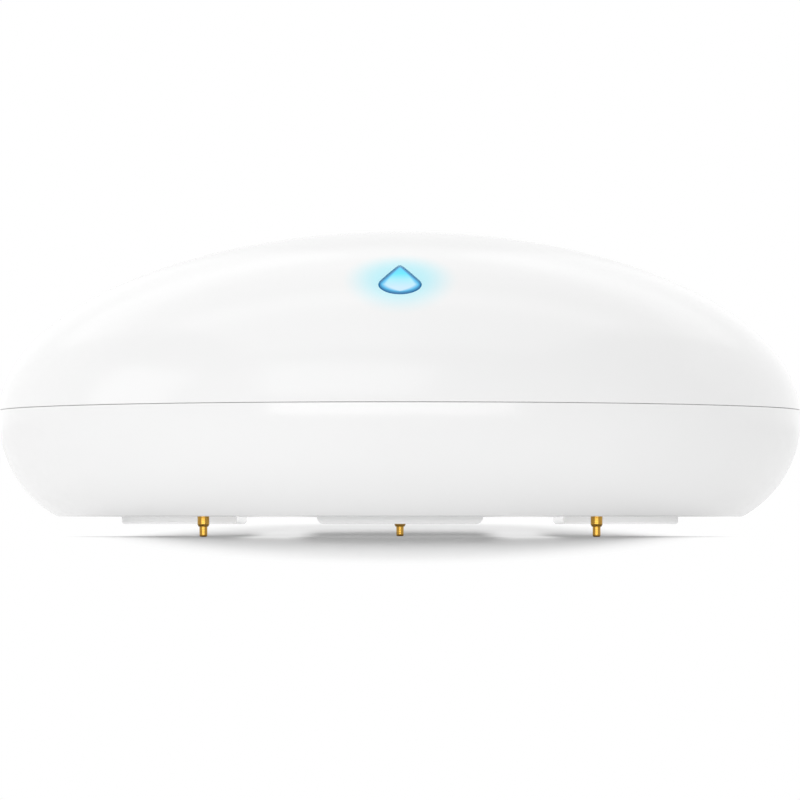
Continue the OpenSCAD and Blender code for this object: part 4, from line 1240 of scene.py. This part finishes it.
# Glass bead: dark amber, glossy.
bead_glass = finish("amber_glass_bead", "6b3a1c", "4f2812", 0.6, (0.08, 0.16), 0.004, {"IOR": 1.52})
fit(bead, bead_glass, "base", "chip_ceramic", "thermistor")
bead_wire_r = 0.2
bead_wire_x = 0.5
bead_wire = tube([(0, 0, z_parts), (0, 0, z_bead - 0.9)], bead_wire_r)
leads = [placed(bead_wire, bead_mid.x + x, bead_mid.y) for x in (-bead_wire_x, bead_wire_x)]
fit(add_piece("thermistor_leads", *together(leads)), tin, "base", "nickel_plate")


# Cover seal: the ring between the shells, which keeps water out.
# Moulded silicone with a flat foot on the lower shell's ledge and a round back under the skirt.
seal_half = 0.65
seal_foot = 0.35
seal_mid = seal_high.x - seal_half
z_seal_foot = seal_low.z + seal_foot
seal_back = [
    (seal_mid + seal_half * cos(radians(a)), z_seal_foot + (seal_high.z - z_seal_foot) * sin(radians(a)))
    for a in range(0, 181, 12)
]
seal_outline = [(seal_mid - seal_half, seal_low.z), (seal_mid + seal_half, seal_low.z)] + seal_back
cover_ring = add_piece("seal_ring", *lathe(seal_outline, 192))
fit(cover_ring, silicone, "seal", "grey_silicone", "cover_seal")


# Upper shell: the dome, with a rim flange, a skirt that drops into the lower shell, and a ring
# that holds the battery down.
# The same moulded ABS; the drop-shaped hole for the light is moulded through its front slope.
dome_h = cover_high.z - z_wide
z_cover_rim = z_seam + seam_open / 2
z_skirt = cover_low.z
skirt_r = -seal_low.x
skirt_t = 1.4
flange_h = 2
inner_a = case_r - wall
inner_b = dome_h - wall
ring_in, ring_out = 6.6, 8.0
z_ring = 22.05


def dome_point(angle, a, b):
    """A point of the dome's elliptical section, at that angle of its circle in degrees."""
    return a * cos(radians(angle)), z_wide + b * sin(radians(angle))


def dome_arc(start, end, a, b, steps):
    """Points of that section from start to end."""
    return [dome_point(start + (end - start) * i / steps, a, b) for i in range(steps + 1)]


rim_angle = degrees(asin((z_cover_rim - z_wide) / dome_h))
flange_angle = degrees(asin((z_cover_rim + flange_h - z_wide) / inner_b))
dome_outline = soften(
    [(0, cover_high.z)]
    + dome_arc(89, rim_angle + 0.6, case_r, dome_h, 88)
    + [(*dome_point(rim_angle, case_r, dome_h), seam_edge)]
    + [(skirt_r, z_cover_rim), (skirt_r, z_skirt, rim_edge), (skirt_r - skirt_t, z_skirt, rim_edge)]
    + [(skirt_r - skirt_t, z_cover_rim + flange_h)]
    + dome_arc(flange_angle, degrees(acos(ring_out / inner_a)), inner_a, inner_b, 36)
    + [(ring_out, z_ring, rim_edge), (ring_in, z_ring, rim_edge)]
    + dome_arc(degrees(acos(ring_in / inner_a)), 89, inner_a, inner_b, 8)
    + [(0, z_wide + inner_b)]
)
upper_shell = add_piece("upper_shell", *lathe(dome_outline, 256))

drop_w = 3.6
drop_l = 6.2
drop_r = 26.2
lens_play = 0.05
drop_fall = sqrt(1 - (drop_r / case_r) ** 2)
drop_z = z_wide + dome_h * drop_fall
drop_tilt = atan(dome_h / case_r * drop_r / case_r / drop_fall)
drop_frame = at(0, -drop_r, drop_z) @ Matrix.Rotation(drop_tilt, 4, "X")


def drop_outline(grow, steps=40):
    """The drop seen square to the slope, its point up the slope, grown all round."""
    r = drop_w / 2 + grow
    y_round = (drop_w - drop_l) / 2
    flank = degrees(asin(drop_w / 2 / (drop_l - drop_w / 2)))
    tip = (0, y_round + r / sin(radians(flank)), 0.2)
    return soften([tip] + arc((0, y_round), r, 180 - flank, 360 + flank, steps))


hole = move(add_piece("hole", *prism(drop_outline(lens_play), -2 * wall, 2 * wall)), drop_frame)
combine(upper_shell, hole, "DIFFERENCE")
flange_w = 0.9
lens_seat = 0.4 - wall
pocket = prism(drop_outline(flange_w + 2 * lens_play), lens_seat - 2 * wall, lens_seat)
combine(upper_shell, move(add_piece("pocket", *pocket), drop_frame), "DIFFERENCE")
lug_r = skirt_r + 0.55
lug_edge = 0.25
lugs = [
    ring_segment(skirt_r - skirt_t / 2, lug_r, lug_low, lug_low + lug_h, a - lug_deg / 2, a + lug_deg / 2)
    for a in lug_angles
]
combine(upper_shell, add_piece("lugs", *together(lugs), bevel=lug_edge), "UNION")

# The dome's own normals, so that the cuts leave its reflections smooth.
normals = [Vector(n.vector) for n in upper_shell.data.corner_normals]
on_dome_within = 2e-4
for face in upper_shell.data.polygons:
    spots = [upper_shell.data.vertices[i].co / MM for i in face.vertices]
    sizes = [(p.xy.length / case_r) ** 2 + ((p.z - z_wide) / dome_h) ** 2 for p in spots]
    if all(abs(size - 1) < on_dome_within for size in sizes):
        for i, p in zip(face.loop_indices, spots):
            slope = Vector((p.x / case_r ** 2, p.y / case_r ** 2, (p.z - z_wide) / dome_h ** 2))
            normals[i] = slope.normalized()
upper_shell.data.normals_split_custom_set(normals)


def drop_point(tree, scale):
    """The output that gives each point's place in the drop's own frame, in units of that scale."""
    sockets = {
        "Vector": object_point(tree), "Location": drop_frame.translation, "Rotation": (drop_tilt, 0, 0),
        "Scale": [size * MM for size in scale],
    }
    return add_node(tree, "ShaderNodeMapping", sockets, vector_type="TEXTURE").outputs[0]


def length(tree, vector):
    """The output of a vector's length."""
    return add_node(tree, "ShaderNodeVectorMath", {0: vector}, operation="LENGTH").outputs["Value"]


# White ABS with a painted glow: the same plastic, with the lamp's light round the lens painted into its
# colour as a pale cyan tint that fades out over a halo.
glow_painted_abs = white_abs.copy()
glow_painted_abs.name = "polished_white_abs_painted_glow"
tree = glow_painted_abs.node_tree
halo = 3.4
round_drop = drop_point(tree, [span / 2 + halo for span in (drop_w, drop_l, drop_l)])
painted_halo_share = spread(tree, length(tree, round_drop), 0.3, 1, 1, 0, "SMOOTHSTEP")
shader = next(n for n in tree.nodes if n.type == "BSDF_PRINCIPLED")
plain = shader.inputs["Base Color"].links[0].from_socket
tree.links.new(blend(tree, painted_halo_share, plain, "b4eef8"), shader.inputs["Base Color"])
fit(upper_shell, glow_painted_abs, "cover", "white_abs", "cover_shell")


# Drop lens: the light's window, flush with the dome.
# Clear blue polycarbonate on a flange that is glued inside the cover. Its light from behind is painted in as
# a glow that it emits: palest over the lamp and cyan towards its point, with a painted deep blue rim that is
# darkest at its edge.
lens_steps = 20
lens_edge = 0.22
lens_edge_fall = 0.45
lens_flange_t = 0.6
lens_seal_t = 0.3
z_lens_flange = lens_seat - lens_seal_t - lens_flange_t
lens_rim = drop_outline(0)
lens_heart = Vector((0, (drop_w - drop_l) / 2))


def on_dome(x, y):
    """Height of the dome over the drop's own plane."""
    up = drop_frame.to_3x3()
    start = drop_frame.translation / MM + up @ Vector((x, y, 0))
    squash = Vector((1 / case_r, 1 / case_r, 1 / dome_h))
    p = (start - Vector((0, 0, z_wide))) * squash
    d = (up @ Vector((0, 0, 1))) * squash
    half_b = p.dot(d)
    return (-half_b + sqrt(half_b ** 2 - d.dot(d) * (p.dot(p) - 1))) / d.dot(d)


def ring_at(share):
    """The lens's outline, drawn in towards its heart."""
    return [lens_heart.lerp(Vector(p), share) for p in lens_rim]


lens_rings = []
for i in range(lens_steps):
    share = 1 - (1 - lens_edge / (drop_w / 2)) * i / lens_steps if i else 1
    sunk = lens_edge * lens_edge_fall if i == 0 else 0
    lens_rings.append([(p.x, p.y, on_dome(p.x, p.y) - sunk) for p in ring_at(share)])
lens_rings.insert(0, [(p.x, p.y, z_lens_flange + lens_flange_t) for p in ring_at(1)])
foot_rim = drop_outline(flange_w)
lens_rings.insert(0, [(x, y, z_lens_flange + lens_flange_t) for x, y in foot_rim])
lens_rings.insert(0, [(x, y, z_lens_flange) for x, y in foot_rim])
count = len(lens_rim)
lens_points = [p for ring in lens_rings for p in ring]
lens_points += [(*lens_heart, on_dome(*lens_heart)), (*lens_heart, z_lens_flange)]
top, bottom = len(lens_points) - 2, len(lens_points) - 1
lens_faces = [
    [r * count + s, r * count + (s + 1) % count, (r + 1) * count + (s + 1) % count, (r + 1) * count + s]
    for r in range(len(lens_rings) - 1) for s in range(count)
]
last = (len(lens_rings) - 1) * count
lens_faces += [[last + s, last + (s + 1) % count, top] for s in range(count)]
lens_faces += [[s, (s + 1) % count, bottom] for s in range(count)]
lens = move(add_piece("lens_window", lens_points, lens_faces), drop_frame)
# How far each point lies inside the lens's edge, in millimetres, where the length of the drop counts for
# less: its lower end has the widest edge. These set where the painted dark rim gives way to the painted pale
# heart.
end_share = 0.42
painted_rim_width = 0.17
band_mid = 0.1
band_side = 0.42
edge_line = [Vector((x, y * end_share)) for x, y in lens_rim]
insides, painted_heart_shares = [], []
for x, y, z in lens_points:
    spot = Vector((x, y * end_share))
    reaches = []
    for a, b in zip(edge_line, edge_line[1:] + edge_line[:1]):
        share = max(0, min(1, (spot - a).dot(b - a) / (b - a).length_squared))
        reaches.append((spot - a.lerp(b, share)).length)
    insides.append(min(reaches) if z > lens_seat else 0)
    painted_heart_shares.append((insides[-1] - painted_rim_width) / (band_mid + band_side * abs(x) / (drop_w / 2)))
lens.data.attributes.new("inside_mm", "FLOAT", "POINT").data.foreach_set("value", insides)
lens.data.attributes.new("painted_heart_share", "FLOAT", "POINT").data.foreach_set("value", painted_heart_shares)

# Blue polycarbonate with painted light: an emitted, painted glow with a pale heart that turns cyan up the
# drop, inside a painted darker blue rim.
rim_line = (0.08, 0.24)
climb_from, climb_to = -0.6, 0.65
blue_lens, tree = start_material("blue_polycarbonate_painted_glow")
height = add_node(tree, "ShaderNodeSeparateXYZ", {0: drop_point(tree, (drop_l / 2,) * 3)})
climb = spread(tree, height.outputs["Y"], climb_from, climb_to)
glow = add_node(tree, "ShaderNodeValToRGB", {"Fac": climb})
glow.color_ramp.elements[0].color = linear("cde8f3")
glow.color_ramp.elements[1].color = linear("38cdf0")
for stop, colour in ((0.4, "a4e7f3"), (0.7, "55dff5")):
    glow.color_ramp.elements.new(stop).color = linear(colour)
# Painted rim: near the lens's edge the glow is drawn in deep blue, and paler further in.
inside = add_node(tree, "ShaderNodeAttribute", {}, attribute_name="inside_mm")
painted_rim_tone = blend(tree, spread(tree, inside.outputs["Fac"], *rim_line), "006090", "2fb2e2")
bright = add_node(tree, "ShaderNodeAttribute", {}, attribute_name="painted_heart_share")
heart = spread(tree, bright.outputs["Fac"], 0, 1, curve="SMOOTHSTEP")
surface(tree, {
    "Base Color": linear("0b3a5a"), "Roughness": 0.12, "IOR": 1.58, "Specular IOR Level": 0.12,
    "Emission Color": blend(tree, heart, painted_rim_tone, glow.outputs[0]), "Emission Strength": 0.95,
})
fit(lens, blue_lens, "cover", "blue_lens", "drop_lens")


# Lens seal: the gasket between the lens's flange and the cover.
# Die-cut silicone sheet, pressed flat when the lens goes in.
gasket_ring = band(drop_outline(flange_w), drop_outline(lens_play), z_lens_flange + lens_flange_t, lens_seat)
lens_gasket = move(add_piece("lens_gasket", *gasket_ring), drop_frame)
fit(lens_gasket, silicone, "cover", "grey_silicone", "lens_seal")


# Studio: a sweep of white paper on a lit table, under soft lamps, seen from just above the floor.
# The paper is level under the probes, falls gently towards the camera and swells a little behind
# the object, so that the shadow is seen although the camera is almost down on it.
photo_size = 800
horizon_y = 525
half_width_px = 401
camera_back = 470
eye_z = 1.05
sensor = 36
focal_px = half_width_px / tan(asin(case_r / camera_back))
camera_data = bpy.data.cameras.new("photo_camera")
camera_data.sensor_width = sensor
camera_data.lens = focal_px / photo_size * sensor
camera_data.clip_start = 0.01
camera = bpy.data.objects.new("photo_camera", camera_data)
camera.location = Vector((0, -camera_back, eye_z)) * MM
camera.rotation_euler = (radians(90) + atan((horizon_y - photo_size / 2) / focal_px), 0, 0)
bpy.context.scene.collection.objects.link(camera)
bpy.context.scene.camera = camera

sweep_half = 3000
sweep_near = 120
sweep_step = 2
level = 21
fall = 0.1
fall_start = 8
fall_end = 80
swell_h = 1.2
swell_mid = 50
swell_end = 90


def sweep_height(y):
    """Height of the sweep along Y."""
    if y < -level:
        run = min(-y, fall_end) - level
        return -fall * (run * run / (2 * fall_start) if run < fall_start else run - fall_start / 2)
    if y < level or y > swell_end:
        return 0
    share = (y - level) / (swell_mid - level)
    if y >= swell_mid:
        share = (swell_end - y) / (swell_end - swell_mid)
    return swell_h * share * share * (3 - 2 * share)


steps_y = [-sweep_half, *range(-sweep_near, sweep_near + 1, sweep_step), sweep_half]
sweep_points = [(x, y, sweep_height(y)) for y in steps_y for x in (-sweep_half, sweep_half)]
sweep_faces = [[2 * i, 2 * i + 1, 2 * i + 3, 2 * i + 2] for i in range(len(steps_y) - 1)]
sweep = add_piece("studio_sweep", sweep_points, sweep_faces)
sweep.data.shade_smooth()
sweep.data.flip_normals()


def seen_rays(tree):
    """The output that is 1 for what the camera sees, also in a mirror or through glass."""
    rays = add_node(tree, "ShaderNodeLightPath", {}).outputs
    straight = reckon(tree, "MAXIMUM", rays["Is Camera Ray"], rays["Is Glossy Ray"])
    return reckon(tree, "MAXIMUM", straight, rays["Is Transmission Ray"])


def fade(tree, distance, reach, near, far):
    """The output that runs smoothly from near to far over a reach in millimetres."""
    return spread(tree, distance, reach[0] * MM, reach[1] * MM, near, far, "SMOOTHSTEP")


# Sweep paper: matt white, with a painted shadow: near the object the eye sees it in a darker grey, on top of
# its real shadow. Past the shadow, whose outline is an oval, it is seen as plain white, and painted light
# lightens the shadow in bands behind the channels between the lobes. From below it is clear.
paper_white = "f4f4f4"
painted_shadow_grey = "c4c4c4"
painted_shadow_reach = (22, 40)
table_light = 0.14
slot_light = 0.36
slot_reach = (22, 31)
shadow_side = 1.6
shadow_back = 2
shadow_end = (39.5, 49.5)
painted_gap_level = 0.66
gap_reach = (27, 37)
gap_back = 4
gap_stops = ((0, 0.08), (7.2, 0.08), (10, 1), (12.3, 1), (15, 0.08), (21, 0.08), (28, 1))
paper, tree = start_material("white_sweep_paper")
place = object_point(tree)
seen = seen_rays(tree)
oval = add_node(
    tree, "ShaderNodeMapping",
    {"Vector": place, "Location": (0, -shadow_back * MM, 0), "Scale": (shadow_side, 1, 1)},
)
past_shadow = fade(tree, length(tree, oval.outputs[0]), shadow_end, 0, 1)
# Painted light between the lobes: bands across X, at the channels and past the side lobes, are drawn partly
# white over the shadow. They fade out about 30 mm from a point just behind the middle.
ways = add_node(tree, "ShaderNodeSeparateXYZ", {0: place})
sideways = reckon(tree, "ABSOLUTE", ways.outputs["X"])
gap_span = gap_stops[-1][0]
gaps = add_node(tree, "ShaderNodeValToRGB", {"Fac": spread(tree, sideways, 0, gap_span * MM)})
gaps.color_ramp.interpolation = "EASE"
gaps.color_ramp.elements.remove(gaps.color_ramp.elements[0])
for stop, light in gap_stops[:-1]:
    gaps.color_ramp.elements.new(stop / gap_span).color = (light, light, light, 1)
from_gap = add_node(
    tree, "ShaderNodeVectorMath", {0: place, 1: (0, gap_back * MM, 0)}, operation="DISTANCE",
)
gap_fade = fade(tree, from_gap.outputs["Value"], gap_reach, painted_gap_level, 0)
painted_gap_light = reckon(tree, "MULTIPLY", gaps.outputs[0], gap_fade)
clear = reckon(tree, "MAXIMUM", past_shadow, painted_gap_light)
from_mid = length(tree, place)
glow_up = fade(tree, from_mid, slot_reach, table_light + slot_light, table_light)
own_light = add_node(tree, "ShaderNodeMix", {0: seen, 2: glow_up, 3: clear})
# Painted shadow: near the middle the paper's colour is drawn a darker grey for the eye, fading out by 40 mm.
painted_shadow_share = reckon(tree, "MULTIPLY", fade(tree, from_mid, painted_shadow_reach, 1, 0), seen)
painted_shadow_tone = blend(tree, painted_shadow_share, paper_white, painted_shadow_grey)
paper_tone = blend(tree, reckon(tree, "MULTIPLY", clear, seen), painted_shadow_tone, "000000")
matt = add_node(tree, "ShaderNodeBsdfDiffuse", {"Color": paper_tone})
lit = add_node(tree, "ShaderNodeEmission", {"Color": linear("ffffff"), "Strength": own_light.outputs[0]})
both = add_node(tree, "ShaderNodeAddShader", {0: matt.outputs[0], 1: lit.outputs[0]})
facing = add_node(tree, "ShaderNodeNewGeometry", {})
nothing = add_node(tree, "ShaderNodeBsdfTransparent", {})
one_sided = add_node(
    tree, "ShaderNodeMixShader",
    {0: facing.outputs["Backfacing"], 1: both.outputs[0], 2: nothing.outputs[0]},
)
add_node(tree, "ShaderNodeOutputMaterial", {"Surface": one_sided.outputs[0]})
sweep.data.materials.append(paper)

sky_light = 0.67
world = bpy.data.worlds.new("studio")
bpy.context.scene.world = world
world.use_nodes = True
tree = world.node_tree
tree.nodes.clear()
strength = spread(tree, seen_rays(tree), 0, 1, sky_light, 1)
sky = add_node(tree, "ShaderNodeBackground", {"Color": linear("ffffff"), "Strength": strength})
add_node(tree, "ShaderNodeOutputWorld", {"Surface": sky.outputs[0]})

lamp_aim = Vector((0, 0, 12))
for name, spot, width, length_y, radiance in (
    ("back_softbox", (0, 420, 520), 900, 500, 0.26),
    ("top_softbox", (0, 60, 700), 800, 600, 0.45),
    ("front_softbox", (-150, -480, 400), 500, 400, 0.74),
    ("left_softbox", (-520, -60, 240), 300, 300, 0.87),
    ("right_back_softbox", (450, 540, 250), 900, 600, 0.18),
    ("left_back_softbox", (-450, 540, 250), 900, 600, 0.15),
    ("low_strip", (-20, -520, 15), 700, 42, 3),
):
    lamp = bpy.data.lights.new(name, "AREA")
    lamp.shape = "RECTANGLE"
    lamp.size = width * MM
    lamp.size_y = length_y * MM
    lamp.energy = radiance * pi * lamp.size * lamp.size_y
    holder = bpy.data.objects.new(name, lamp)
    holder.location = Vector(spot) * MM
    holder.rotation_euler = (lamp_aim - Vector(spot)).to_track_quat("-Z", "Y").to_euler()
    holder.visible_camera = False
    bpy.context.scene.collection.objects.link(holder)

bpy.context.scene.view_settings.view_transform = "Standard"
